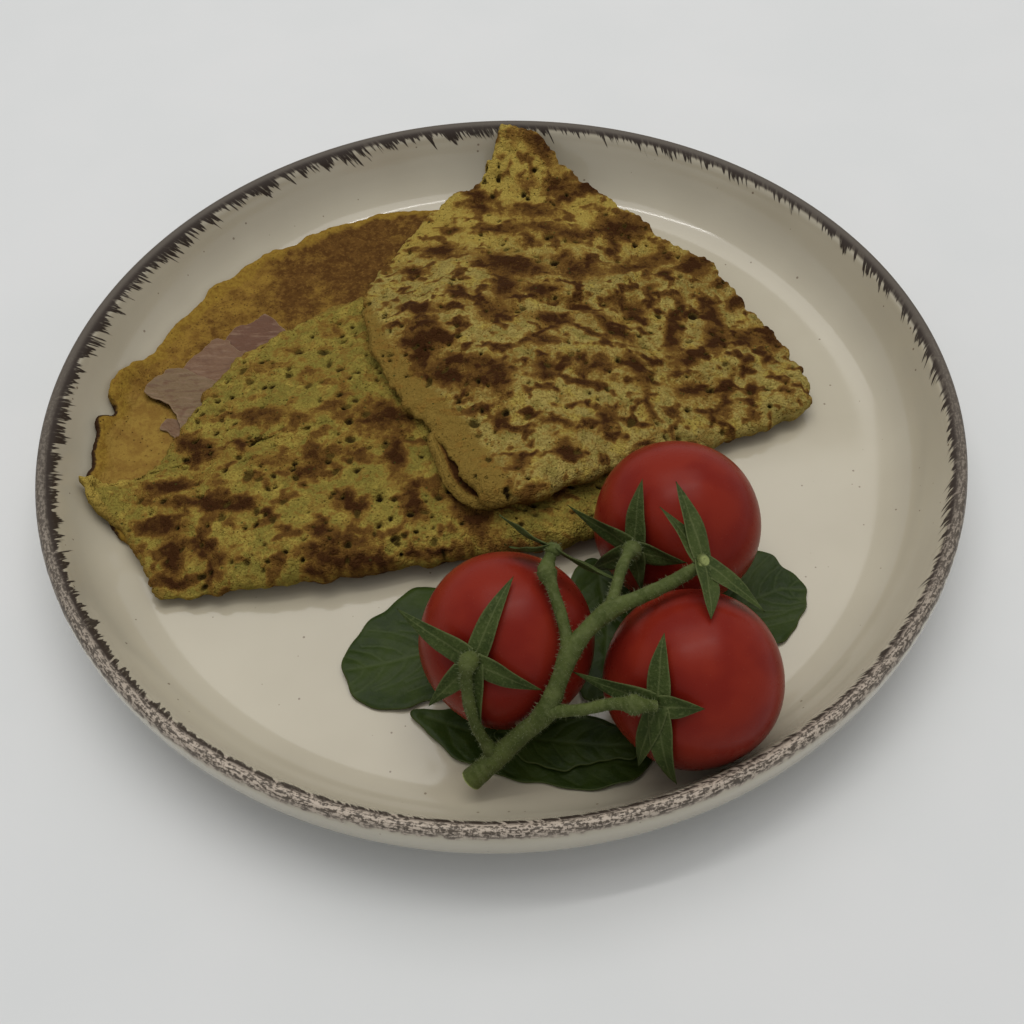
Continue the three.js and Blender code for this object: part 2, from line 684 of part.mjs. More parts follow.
// Outline from above, centre, height over the plate, and the lift of the edge.
const leaves = {
  left: {
    outline: [[-24, -51], [-33, -58], [-41, -66], [-44, -75], [-41, -84], [-32, -89], [-22, -87], [-6, -84],
      [-4, -66], [-12, -54]],
    centre: [-24, -72], lift: 0, curl: 1.3,
  },
  bottom: {
    outline: [[-24, -89], [-22, -95], [-14, -103], [-2, -108.5], [12, -112], [23, -113.5], [33, -109],
      [36, -101], [22, -93], [0, -90]],
    centre: [6, -101], lift: 0, curl: 0.9,
  },
  bottom_upper: {
    outline: [[-4, -97], [2, -104], [12, -108], [22, -106], [31, -105.5], [30, -99], [20, -94], [6, -93.5]],
    centre: [14, -100], lift: 1.5, curl: 1.4,
  },
  right: {
    outline: [[70, -43], [78, -49], [83, -57], [80, -65], [76, -71], [66, -76], [54, -72], [52, -62], [58, -50]],
    centre: [68, -60], lift: 0, curl: 1.6,
  },
  middle: {
    outline: [[26, -44], [18, -50], [20, -60], [16, -74], [20, -88], [32, -84], [38, -70], [36, -56]],
    centre: [27, -67], lift: 0, curl: 1.1,
  },
};

function leafGeometry({ outline, centre, lift, curl }) {
  const shape = outlineThrough(outline, 0.3, 9);
  const spread = 22;
  const middle = (x, y) => {
    const away = Math.hypot(x - centre[0], y - centre[1]);
    const wave = 0.5 * (1 + Math.sin(Math.atan2(y - centre[1], x - centre[0]) * 5 + away / 6));
    const edge = smooth(9, spread, away);
    return plateTop(x, y) + gap + leafThickness / 2 + lift + curl * wave * edge;
  };
  return geometryOf(lensSolid(shape, centre,
    (x, y, d) => middle(x, y) + (leafThickness / 2) * rounded(d, 1),
    (x, y, d) => middle(x, y) - (leafThickness / 2) * rounded(d, 1), 8, 1.1));
}

// ---------------------------------------------------------------- the whole

const finishes = {
  stoneware: new THREE.MeshStandardMaterial({ color: 0xd9cfba, roughness: 0.35, metalness: 0 }),
  pancake: new THREE.MeshStandardMaterial({ color: 0xa98a35, roughness: 0.8, metalness: 0 }),
  ham: new THREE.MeshStandardMaterial({ color: 0xc99384, roughness: 0.6, metalness: 0 }),
  tomato: new THREE.MeshStandardMaterial({ color: 0xb3231a, roughness: 0.3, metalness: 0 }),
  vine: new THREE.MeshStandardMaterial({ color: 0x57682f, roughness: 0.75, metalness: 0 }),
  spinach: new THREE.MeshStandardMaterial({ color: 0x2f4a22, roughness: 0.5, metalness: 0 }),
};

const meal = new THREE.Group();

function place(name, geometry, finish) {
  const mesh = new THREE.Mesh(geometry, finish.clone());
  mesh.name = name;
  meal.add(mesh);
  return mesh;
}

place("plate", plateGeometry(), finishes.stoneware);
place("crepe_left", geometryOf(leftPancake()), finishes.pancake);
place("ham", geometryOf(hamSlab(0)), finishes.ham);
place("crepe_right", geometryOf(rightPancake()), finishes.pancake);
for (const [name, fruit] of Object.entries(tomatoes)) {
  const mesh = place(`tomato_${name}`, tomatoGeometry(fruit), finishes.tomato);
  mesh.position.copy(vector(fruit.centre));
  mesh.quaternion.copy(facingTurn(fruit.facing));
}
place("truss", vineGeometry(), finishes.vine);
for (const [name, leaf] of Object.entries(leaves)) {
  place(`leaf_${name}`, leafGeometry(leaf), finishes.spinach);
}

export default meal;
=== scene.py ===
# A round stoneware plate with two folded potato pancakes, ham, tomatoes on their vine and a few
# spinach leaves. Shapes are worked out in millimetres and become metres when their mesh is made.
import math
import bmesh
import bpy
import numpy as np
from mathutils import Matrix, Vector


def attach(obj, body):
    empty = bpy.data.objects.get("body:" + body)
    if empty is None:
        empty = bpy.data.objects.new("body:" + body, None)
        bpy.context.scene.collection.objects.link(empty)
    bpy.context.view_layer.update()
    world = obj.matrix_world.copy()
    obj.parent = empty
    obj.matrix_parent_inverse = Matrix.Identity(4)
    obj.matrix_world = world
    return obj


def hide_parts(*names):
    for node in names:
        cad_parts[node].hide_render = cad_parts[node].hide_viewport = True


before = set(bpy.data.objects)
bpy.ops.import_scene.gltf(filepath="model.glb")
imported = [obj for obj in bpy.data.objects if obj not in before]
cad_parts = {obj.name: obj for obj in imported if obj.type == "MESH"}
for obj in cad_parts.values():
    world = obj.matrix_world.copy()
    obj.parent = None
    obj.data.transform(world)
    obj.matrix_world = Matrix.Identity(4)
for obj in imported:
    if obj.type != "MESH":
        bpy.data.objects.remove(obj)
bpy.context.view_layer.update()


# ------------------------------------------------------------------ table, light and camera
# A matt white table under a wide soft light and a long narrow lamp, which draws a bright line in
# the glaze where the floor turns up into the wall. Pale surroundings fill the shadows. The camera
# looks down over the diner's side of the plate and is tipped a little to one side.

MM = 0.001
scene = bpy.context.scene
scene.view_settings.view_transform = "Standard"

camera_data = bpy.data.cameras.new("camera")
camera_data.lens = 42.1875
camera_data.sensor_width = 36
camera_data.clip_start = 0.01
camera = bpy.data.objects.new("camera", camera_data)
camera_place = Matrix.Translation(Vector((2.57, -234.11, 287.06)) * MM)
camera_tilt = Matrix.Rotation(math.radians(90 - 53.433), 4, "X")
camera_roll = Matrix.Rotation(math.radians(-2.244), 4, "Z")
camera.matrix_world = camera_place @ camera_tilt @ camera_roll
scene.collection.objects.link(camera)
scene.camera = camera


def hang_light(name, place, width, depth, power):
    """A flat lamp at a place in metres, turned towards the plate."""
    data = bpy.data.lights.new(name, "AREA")
    data.shape = "RECTANGLE"
    data.size = width
    data.size_y = depth
    data.energy = power
    data.color = (1.0, 0.985, 0.96)
    light = bpy.data.objects.new(name, data)
    facing = (-Vector(place)).to_track_quat("-Z", "Y").to_matrix().to_4x4()
    light.matrix_world = Matrix.Translation(Vector(place)) @ facing
    scene.collection.objects.link(light)


hang_light("soft_light", (0.0, 0.3, 1.22), 1.15, 1.15, 7.2)
hang_light("long_lamp", (-0.05, 0.24, 1.5), 1.3, 0.06, 3.3)

world = bpy.data.worlds.new("pale_room")
world.use_nodes = True
world.node_tree.nodes["Background"].inputs["Color"].default_value = (0.97, 0.98, 1.0, 1)
world.node_tree.nodes["Background"].inputs["Strength"].default_value = 0.5
scene.world = world


class Wire:
    """One output in a material's nodes. Sums and products of wires add their own Math nodes."""

    def __init__(self, tree, socket=None):
        self.tree, self.socket = tree, socket

    def node(self, kind, settings=None, inputs=None, output=0):
        made = self.tree.nodes.new(kind)
        for name, value in (settings or {}).items():
            if name == "stops":
                while len(made.color_ramp.elements) < len(value):
                    made.color_ramp.elements.new(1)
                for element, (place, colour) in zip(made.color_ramp.elements, value):
                    element.position = place
                    element.color = (*colour, 1)
            else:
                setattr(made, name, value)
        for name, value in (inputs or {}).items():
            if isinstance(value, Wire):
                self.tree.links.new(value.socket, made.inputs[name])
            else:
                made.inputs[name].default_value = value
        return Wire(self.tree, made.outputs[output] if made.outputs else None)

    def maths(self, operation, *values):
        return self.node("ShaderNodeMath", {"operation": operation}, dict(enumerate(values)))

    def __add__(self, other):
        return self.maths("ADD", self, other)

    def __radd__(self, other):
        return self.maths("ADD", other, self)

    def __sub__(self, other):
        return self.maths("SUBTRACT", self, other)

    def __rsub__(self, other):
        return self.maths("SUBTRACT", other, self)

    def __mul__(self, other):
        return self.maths("MULTIPLY", self, other)

    def __rmul__(self, other):
        return self.maths("MULTIPLY", other, self)

    def highest(self, other):
        return self.maths("MAXIMUM", self, other)

    def between(self, low, high):
        """0 below low and 1 above high, with a soft step from one to the other."""
        return self.node("ShaderNodeMapRange", {"interpolation_type": "SMOOTHSTEP"},
                         {"Value": self, "From Min": low, "From Max": high})

    def attribute(self, name, output="Fac"):
        return self.node("ShaderNodeAttribute", {"attribute_name": name}, output=output)

    def place(self):
        return self.node("ShaderNodeTexCoord", output="Object")

    def stretched(self, scale):
        return self.node("ShaderNodeVectorMath", {"operation": "MULTIPLY"}, {0: self, 1: scale})

    def noise(self, size, detail=2.0, roughness=0.5):
        """Cloudy variation from 0 to 1 on this place, with clouds of a size in millimetres."""
        return self.node("ShaderNodeTexNoise", {}, {"Vector": self, "Scale": 1 / (size * MM),
                                                   "Detail": detail, "Roughness": roughness})

    def cells(self, size, output="Distance"):
        """Cells of a size in millimetres: the distance to a cell's middle, or its own colour."""
        inputs = {"Vector": self, "Scale": 1 / (size * MM)}
        return self.node("ShaderNodeTexVoronoi", {}, inputs, output=output)

    def paint(self, under, over):
        """The colour under, with the colour over where this is 1."""
        made = self.tree.nodes.new("ShaderNodeMix")
        made.data_type = "RGBA"
        for number, value in ((0, self), (6, under), (7, over)):
            if isinstance(value, Wire):
                self.tree.links.new(value.socket, made.inputs[number])
            else:
                made.inputs[number].default_value = (*value, 1)
        return Wire(self.tree, made.outputs[2])

    def relief(self, height):
        """A normal that is bumped by this much times the height in millimetres."""
        return self.node("ShaderNodeBump", {}, {"Strength": 1.0, "Distance": height * MM, "Height": self})


def new_finish(name):
    """An empty material, and a wire to begin its patterns with."""
    material = bpy.data.materials.new(name)
    material.use_nodes = True
    material.node_tree.nodes.clear()
    return material, Wire(material.node_tree)


def finish_surface(start, inputs):
    shader = start.node("ShaderNodeBsdfPrincipled", {}, inputs)
    start.node("ShaderNodeOutputMaterial", {}, {"Surface": shader})


table_paint, start = new_finish("table_paint")
mottle = start.place().noise(60, 3).between(0.3, 0.7)
finish_surface(start, {"Base Color": mottle.paint((0.675, 0.685, 0.68), (0.695, 0.70, 0.695)),
                       "Roughness": 0.7, "Specular IOR Level": 0.2})
table_reach, table_level = 3, -0.0002
table_corners = [(x * table_reach, y * table_reach, table_level)
                 for x, y in ((-1, -1), (1, -1), (1, 1), (-1, 1))]
table_mesh = bpy.data.meshes.new("table")
table_mesh.from_pydata(table_corners, [], [(0, 1, 2, 3)])
table_mesh.materials.append(table_paint)
table = bpy.data.objects.new("table", table_mesh)
scene.collection.objects.link(table)


# ------------------------------------------------------------------ plate
# A stoneware plate with a flat floor, a steep wall and a rounded lip, turned on a wheel.
# Its cream glaze is thin over small iron specks, and dark oxide is brushed down from the lip.

plate_inside = [(0, 6), (60, 6), (104, 6), (110, 6.15), (114, 6.9), (117.5, 8.6), (120.5, 11.3), (123, 14.8),
                (125, 18.8), (126.8, 23.2), (128.2, 26.4)]
plate_rim = [(130.4, 28), (131.7, 27.3), (132.5, 24.5)]
plate_outside = [(132.2, 19), (131.2, 14.5), (129.2, 10), (126, 6.3), (121, 3.4), (112, 1.8), (84, 1)]
plate_foot = [(83, 0), (79, 0), (78, 1.2), (40, 1.2), (0, 1.2)]
lip_crest_radius = 130.4
plate_sides = 256


def eased(points, steps):
    """A smooth line through a few points."""
    points = np.array(points, float)
    way = np.vstack([points[1:], points[-1:]]) - np.vstack([points[:1], points[:-1]])
    way /= np.linalg.norm(way, axis=1)[:, None]
    line = []
    for a, b, u, v in zip(points[:-1], points[1:], way[:-1], way[1:]):
        reach = np.linalg.norm(b - a)
        for t in np.arange(steps) / steps:
            line.append((2 * t**3 - 3 * t**2 + 1) * a + (t**3 - 2 * t**2 + t) * reach * u
                        + (3 * t**2 - 2 * t**3) * b + (t**3 - t**2) * reach * v)
    return np.array(line + [points[-1]])


def link_mesh(name, mesh):
    piece = bpy.data.objects.new(name, mesh)
    scene.collection.objects.link(piece)
    return piece


def keep_values(mesh, name, values):
    """Stores one number, or one place, for each point of a mesh."""
    values = np.asarray(values, np.float32)
    kind = "FLOAT" if values.ndim == 1 else "FLOAT_VECTOR"
    layer = mesh.attributes.get(name) or mesh.attributes.new(name, kind, "POINT")
    layer.data.foreach_set("value" if values.ndim == 1 else "vector", values.ravel())


def mesh_points(mesh):
    points = np.empty(len(mesh.vertices) * 3, np.float32)
    mesh.vertices.foreach_get("co", points)
    return points.reshape(-1, 3).astype(float) / MM


def new_tree(name, inputs):
    """An empty geometry tree, and the node that gives its inputs: a name, a kind and a default."""
    tree = bpy.data.node_groups.new(name, "GeometryNodeTree")
    tree.interface.new_socket("Geometry", in_out="OUTPUT", socket_type="NodeSocketGeometry")
    for label, kind, value in inputs:
        socket = tree.interface.new_socket(label, in_out="INPUT", socket_type="NodeSocket" + kind)
        if value is not None:
            socket.default_value = value
    return tree, tree.nodes.new("NodeGroupInput")


def join(tree, links):
    """Joins an output of one node to an input of another, both by name."""
    for source, output, target, name in links:
        tree.links.new(source.outputs[output], target.inputs[name])


def end_tree(tree, given, source, output, material):
    """Ends a tree: what it made becomes plain geometry, with the material of a named input."""
    solid = tree.nodes.new("GeometryNodeRealizeInstances")
    skinned = tree.nodes.new("GeometryNodeSetMaterial")
    made = tree.nodes.new("NodeGroupOutput")
    join(tree, ((source, output, solid, "Geometry"), (solid, "Geometry", skinned, "Geometry"),
                (given, material, skinned, "Material"), (skinned, "Geometry", made, "Geometry")))


def plain_mesh_of(piece, tree, values):
    """Gives a piece a geometry tree, sets its inputs, and turns the result into a plain mesh."""
    modifier = piece.modifiers.new("making", "NODES")
    modifier.node_group = tree
    for item in tree.interface.items_tree:
        if item.item_type == "SOCKET" and item.in_out == "INPUT" and item.name in values:
            modifier[item.identifier] = values[item.name]
    graph = bpy.context.evaluated_depsgraph_get()
    mesh = bpy.data.meshes.new_from_object(piece.evaluated_get(graph), depsgraph=graph)
    piece.modifiers.remove(modifier)
    piece.data = mesh
    return mesh


glaze, start = new_finish("speckled_glaze")
place = start.place()
brush_place = start.attribute("brush_place", "Vector")
lip_depth = start.attribute("lip_depth") * (1 / MM)
cluster = brush_place.noise(13, 1)
tuft = brush_place.stretched((1, 1, 0.22)).noise(2.8, 1)
bristle = brush_place.stretched((1, 1, 0.12)).noise(1.15, 1.5, 0.6)
worn = start.attribute("worn_lip")
brush_reach = 3.4 + start.attribute("brush_load") * 1.9 + (cluster - 0.5) * 6 + (tuft - 0.5) * 8 \
    + (bristle - 0.5) * 14
brushed = (brush_reach - lip_depth).between(-0.3, 0.8) * lip_depth.between(0.9, 2.3)
streak = brush_place.stretched((1, 1, 0.16)).noise(0.7, 3, 0.65)
crumb = place.stretched((1, 1, 0.7)).noise(0.85, 3, 0.65)
lip_edge = (place.noise(2.4, 2) - 0.5) * 3.4 - lip_depth
lip_band = lip_edge.between(3.4, 2.2) * lip_depth.between(3.4, 2.4)
combed = brush_place.stretched((0.22, 0.22, 1)).noise(0.5, 3, 0.65)
lip_dark = (crumb * 0.45 + combed * 0.55 - worn * 0.03 - lip_depth * worn * 0.012).between(0.42, 0.52) \
    * lip_edge.between(4.2, 1.2)
cream = place.noise(30, 2).between(0.3, 0.7).paint((0.455, 0.41, 0.31), (0.485, 0.44, 0.335))
speck_size = start.node("ShaderNodeSeparateColor", {}, {"Color": place.cells(4.2, "Color")})
speck_mask = (speck_size * 0.12 - place.cells(4.2)).between(0.0, 0.035) * 0.7
body = speck_mask.paint(cream, (0.14, 0.095, 0.06))
lip_colour = lip_dark.paint(worn.paint((0.055, 0.042, 0.031), (0.46, 0.385, 0.31)), (0.05, 0.035, 0.026))
body = (lip_band * 0.92).paint(body, lip_colour)
body = (brushed * streak.between(0.2, 0.46).highest(0.6)).paint(body, (0.036, 0.025, 0.0185))
finish_surface(start, {
    "Base Color": body, "Roughness": lip_band.highest(brushed) * 0.4 + 0.12,
    "Coat Weight": (1 - lip_band.highest(brushed)) * 0.4, "Coat Roughness": 0.09,
    "Specular IOR Level": 0.3,
    "Normal": (place.noise(9, 2) * 0.6 + brushed * 0.1).relief(0.06)})

lathe, given = new_tree("plate_lathe", (
    ("Profile", "Geometry", None), ("Turning Radius", "Float", lip_crest_radius * MM),
    ("Sides", "Int", plate_sides), ("Glaze", "Material", None)))
circle = lathe.nodes.new("GeometryNodeCurvePrimitiveCircle")
profile_curve = lathe.nodes.new("GeometryNodeMeshToCurve")
turned = lathe.nodes.new("GeometryNodeCurveToMesh")
closed = lathe.nodes.new("GeometryNodeMergeByDistance")
closed.inputs["Distance"].default_value = 1e-6
join(lathe, (
    (given, "Turning Radius", circle, "Radius"), (given, "Sides", circle, "Resolution"),
    (given, "Profile", profile_curve, "Mesh"), (circle, "Curve", turned, "Curve"),
    (profile_curve, "Curve", turned, "Profile Curve"), (turned, "Mesh", closed, "Geometry")))
end_tree(lathe, given, closed, "Geometry", "Glaze")

glazed_line = eased(plate_inside + plate_rim + plate_outside, 6)
profile = np.vstack([glazed_line, plate_foot])
profile_mesh = bpy.data.meshes.new("plate")
profile_mesh.from_pydata([((r - lip_crest_radius) * MM, -z * MM, 0) for r, z in profile],
                         [(i, i + 1) for i in range(len(profile) - 1)], [])
plate = link_mesh("plate_glazed", profile_mesh)
plate_mesh = plain_mesh_of(plate, lathe, {"Turning Radius": lip_crest_radius * MM, "Sides": plate_sides,
                                          "Glaze": glaze})


def face_outwards(mesh):
    """Merges doubles and makes every face of a closed mesh point outwards and shade smoothly."""
    sheet = bmesh.new()
    sheet.from_mesh(mesh)
    bmesh.ops.remove_doubles(sheet, verts=sheet.verts, dist=1e-7)
    bmesh.ops.recalc_face_normals(sheet, faces=sheet.faces)
    sheet.to_mesh(mesh)
    sheet.free()
    mesh.polygons.foreach_set("use_smooth", np.ones(len(mesh.polygons), bool))


face_outwards(plate_mesh)
points = mesh_points(plate_mesh)
radius, turn = np.hypot(points[:, 0], points[:, 1]), np.arctan2(points[:, 1], points[:, 0])
stretches = np.linalg.norm(np.diff(glazed_line, axis=0), axis=1)
line_place = np.concatenate([[0], np.cumsum(stretches)])
crest = line_place[np.argmax(glazed_line[:, 1])]
from_line = (radius[:, None] - glazed_line[:, 0])**2 + (points[:, 2:] - glazed_line[:, 1])**2
depth = crest - line_place[np.argmin(from_line, axis=1)]
keep_values(plate_mesh, "lip_depth", depth * MM)
# The brush was fullest at the left, and the oxide on the lip is worn on the diner's side.
keep_values(plate_mesh, "brush_load", np.clip(0.5 - np.cos(turn), 0, 1.5) / 1.5)
keep_values(plate_mesh, "worn_lip", np.clip((0.25 - np.sin(turn)) / 1.1, 0, 1)**1.5)
brush_radius, brush_slant = 132, 0.0045
slant = turn + brush_slant * depth
strokes = np.stack([brush_radius * np.cos(slant), brush_radius * np.sin(slant), depth], 1)
keep_values(plate_mesh, "brush_place", strokes * MM)
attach(plate, "root")
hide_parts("plate")


# ------------------------------------------------------------------ left pancake, lower layer
# The fried side of a thin potato batter sheet that lies open on the plate: tan brown and smooth,
# with a yellow margin where the batter ran thin, and a paler flap turned in at its left end.

gap = 0.35
sheet_thickness = 2.6
inside_line = glazed_line[:np.argmax(glazed_line[:, 1]) + 1]

lower_corners = [
    (-120, -13), (-121, 7), (-118, 12), (-120, 20), (-117, 30), (-111, 40), (-98, 64), (-82, 83), (-61, 97),
    (-40, 106), (-19, 108), (8, 102), (30, 84), (40, 48), (42, 0), (34, -26), (0, -38), (-50, -44),
    (-86, -46), (-100, -38), (-112, -28)]
flap_line = [(-124, 17), (-109, 21), (-100, 13), (-90, -10)]


def smooth(low, high, x):
    t = np.clip((x - low) / (high - low), 0, 1)
    return t * t * (3 - 2 * t)


def blend(a, b, t):
    return a + (b - a) * t


def rounded(depth, width):
    """A quarter ellipse: 0 at the edge, 1 from the width inwards."""
    s = 1 - np.clip(depth / width, 0, 1)
    return np.sqrt(1 - s * s)


def swell(x, y, centre, radius):
    return np.exp(-((x - centre[0])**2 + (y - centre[1])**2) / radius**2)


def path_distance(x, y, path):
    nearest = np.full(np.shape(x), np.inf)
    for (ax, ay), (bx, by) in zip(path[:-1], path[1:]):
        dx, dy = bx - ax, by - ay
        t = np.clip(((x - ax) * dx + (y - ay) * dy) / (dx * dx + dy * dy), 0, 1)
        nearest = np.minimum(nearest, (x - ax - t * dx)**2 + (y - ay - t * dy)**2)
    return np.sqrt(nearest)


def hills(x, y, size, seed):
    """Smooth uneven relief from about -1 to 1, with hills of a size in millimetres."""
    columns, rows = 97, 89
    turns = np.random.default_rng(seed).uniform(0, 2 * np.pi, (columns, rows))
    u, v = x / size + 17.3, y / size + 5.1
    i, j = np.floor(u).astype(int), np.floor(v).astype(int)
    a, b = u - i, v - j

    def corner(di, dj):
        angle = turns[(i + di) % columns, (j + dj) % rows]
        return np.cos(angle) * (a - di) + np.sin(angle) * (b - dj)

    s, t = a**3 * (a * (6 * a - 15) + 10), b**3 * (b * (6 * b - 15) + 10)
    near = corner(0, 0) * (1 - s) + corner(1, 0) * s
    far = corner(0, 1) * (1 - s) + corner(1, 1) * s
    return 1.6 * (near * (1 - t) + far * t)


def outline_through(points, waviness=0, waves=0):
    """A closed smooth outline through a few points, anticlockwise, with a little waviness."""
    per_span, count = 60, 480
    points = np.array(points, float)
    after = np.roll(points, -1, axis=0)
    if np.sum(points[:, 0] * after[:, 1] - after[:, 0] * points[:, 1]) < 0:
        points = points[::-1]
    p0, p1, p2, p3 = np.roll(points, 1, 0), points, np.roll(points, -1, 0), np.roll(points, -2, 0)
    t = (np.arange(per_span) / per_span)[None, :, None]
    u, v = (p2 - p0)[:, None] / 2, (p3 - p1)[:, None] / 2
    a, b = p1[:, None], p2[:, None]
    curve = (a + u * t + (-3 * a + 3 * b - 2 * u - v) * t**2 + (2 * a - 2 * b + u + v) * t**3).reshape(-1, 2)
    curve = np.vstack([curve, curve[:1]])
    along = np.concatenate([[0], np.cumsum(np.linalg.norm(np.diff(curve, axis=0), axis=1))])
    even = np.arange(count) / count * along[-1]
    spots = np.stack([np.interp(even, along, curve[:, 0]), np.interp(even, along, curve[:, 1])], 1)
    way = np.roll(spots, -1, 0) - np.roll(spots, 1, 0)
    out = np.stack([way[:, 1], -way[:, 0]], 1) / np.linalg.norm(way, axis=1)[:, None]
    phase = 2 * np.pi * np.arange(count) / count
    shift = waviness * (np.sin(waves * phase) + 0.6 * np.sin(1.7 * waves * phase + 1))
    return spots + out * shift[:, None]


def ring(outline):
    return np.vstack([outline, outline[:1]])


def inside(x, y, outline):
    within = np.zeros(np.shape(x), bool)
    for (ax, ay), (bx, by) in zip(outline, np.roll(outline, 1, axis=0)):
        if ay != by:
            within ^= ((ay > y) != (by > y)) & (x < (bx - ax) * (y - ay) / (by - ay) + ax)
    return within


def plate_top(x, y):
    return np.interp(np.hypot(x, y), inside_line[:, 0], inside_line[:, 1])


def wall_stretch(x, y):
    """How much taller an upright cut through a layer is, where the layer leans on the wall."""
    radius = np.hypot(x, y)
    slope = (plate_top(radius + 2, 0) - plate_top(radius - 2, 0)) / 4
    return np.hypot(1, slope)


def disc_net(outline, centre, cells, crowding):
    """A net of places over an outline, and how far out each one is, from 0 to 1."""
    steps = np.linspace(-1, 1, cells + 1)
    b, a = np.meshgrid(steps, steps, indexing="ij")
    wide = np.abs(a) > np.abs(b)
    radius = np.maximum(np.abs(a), np.abs(b))
    safe_a, safe_b = np.where(a == 0, 1, a), np.where(b == 0, 1, b)
    turn = np.where(wide, b / safe_a / 8, 0.25 - a / safe_b / 8) + 0.5 * (np.where(wide, a, b) < 0)
    reach = 1 - (1 - radius)**crowding
    spot = (turn % 1) * len(outline)
    first = np.floor(spot).astype(int)
    share = (spot - first)[..., None]
    edge = outline[first % len(outline)] * (1 - share) + outline[(first + 1) % len(outline)] * share
    place = np.array(centre) + reach[..., None] * (edge - np.array(centre))
    return place[..., 0], place[..., 1], radius


def rim_walk(cells):
    """The corners of a square net in order round its edge, anticlockwise, as row and column."""
    low, high = np.arange(cells), np.arange(cells, 0, -1)
    none, full = np.zeros(cells, int), np.full(cells, cells)
    return (np.concatenate([none, low, full, high]), np.concatenate([low, full, high, none]))


def flat_food(name, outline, centre, top, bottom, cells, crowding=1.15, coarser=3):
    """A closed thin body over an outline, finer above than below. Heights are functions of x, y
    and the distance from the outline. Returns the piece and its points' x, y and distance."""
    x, y, radius = disc_net(outline, centre, cells, crowding)
    edge = radius > 1 - 1e-9
    depth = np.where(edge, 0, path_distance(x, y, ring(outline)))
    upper = np.stack([x, y, top(x, y, depth)], -1)
    few = cells // coarser
    low_x, low_y, low_depth = (v[::coarser, ::coarser] for v in (x, y, depth))
    lower = np.stack([low_x, low_y, bottom(low_x, low_y, low_depth)], -1)
    count = (cells + 1)**2
    number = np.arange(count).reshape(cells + 1, cells + 1)
    inner = np.zeros((few + 1, few + 1), bool)
    inner[1:-1, 1:-1] = True
    low_number = number[::coarser, ::coarser].copy()
    low_number[inner] = count + np.arange(inner.sum())
    points = np.vstack([upper.reshape(-1, 3), lower[inner]])
    squares = np.stack([number[:-1, :-1], number[:-1, 1:], number[1:, 1:], number[1:, :-1]], -1)
    faces = squares.reshape(-1, 4).tolist()
    walk = number[rim_walk(cells)]
    follow = {int(a): [int(b) for b in walk[i + 1:i + coarser]]
              for i, a in enumerate(walk) if i % coarser == 0}
    for j in range(few):
        for i in range(few):
            corners = [(j, i), (j, i + 1), (j + 1, i + 1), (j + 1, i)]
            loop = []
            for k, (r, c) in enumerate(corners):
                next_r, next_c = corners[(k + 1) % 4]
                loop.append(int(low_number[r, c]))
                on_rim = (r == next_r and r in (0, few)) or (c == next_c and c in (0, few))
                if on_rim:
                    loop += follow[loop[-1]]
            faces.append(loop[::-1])
    mesh = bpy.data.meshes.new(name)
    mesh.from_pydata((points * MM).tolist(), [], faces)
    mesh.polygons.foreach_set("use_smooth", np.ones(len(mesh.polygons), bool))
    low_inner = np.array([low_x[inner], low_y[inner], low_depth[inner]])
    spread = np.array([x.ravel(), y.ravel(), depth.ravel()])
    return link_mesh(name, mesh), np.hstack([spread, low_inner])


def layer(name, outline, centre, middle, top, low, edge_width, cells):
    """A pancake's layer, rounded at its edge from its middle height to its top and underside."""
    return flat_food(
        name, outline, centre,
        lambda x, y, d: blend(middle(x, y), top(x, y), rounded(d, edge_width(x, y))),
        lambda x, y, d: blend(middle(x, y), low(x, y), rounded(d, edge_width(x, y))), cells)


def push_out(piece, amount):
    """Moves every point along its normal by an amount in millimetres."""
    mesh = piece.data
    normals = np.empty(len(mesh.vertices) * 3, np.float32)
    mesh.vertices.foreach_get("normal", normals)
    moved = mesh_points(mesh) + normals.reshape(-1, 3) * np.asarray(amount)[:, None]
    mesh.vertices.foreach_set("co", (moved * MM).ravel().astype(np.float32))
    mesh.update()


lower_outline = outline_through(lower_corners, 0.5, 23)


def ragged(outline, size, amount, seed):
    """Roughens an outline as a torn or fried edge is."""
    way = np.roll(outline, -1, 0) - np.roll(outline, 1, 0)
    out = np.stack([way[:, 1], -way[:, 0]], 1) / np.linalg.norm(way, axis=1)[:, None]
    shift = amount * (hills(outline[:, 0], outline[:, 1], size, seed)
                      + 0.5 * hills(outline[:, 0], outline[:, 1], size / 2.3, seed + 1))
    return outline + out * shift[:, None]


def lower_top(x, y):
    flap = 0.7 * smooth(4, 0, path_distance(x, y, flap_line))
    waves = 0.35 * np.sin(x / 7 + 1) * np.sin(y / 9)
    return plate_top(x, y) + gap + (sheet_thickness + flap + waves) * wall_stretch(x, y)


def lower_underside(x, y):
    return plate_top(x, y) + gap


def lower_middle(x, y):
    return blend(lower_underside(x, y), lower_top(x, y), 0.45)


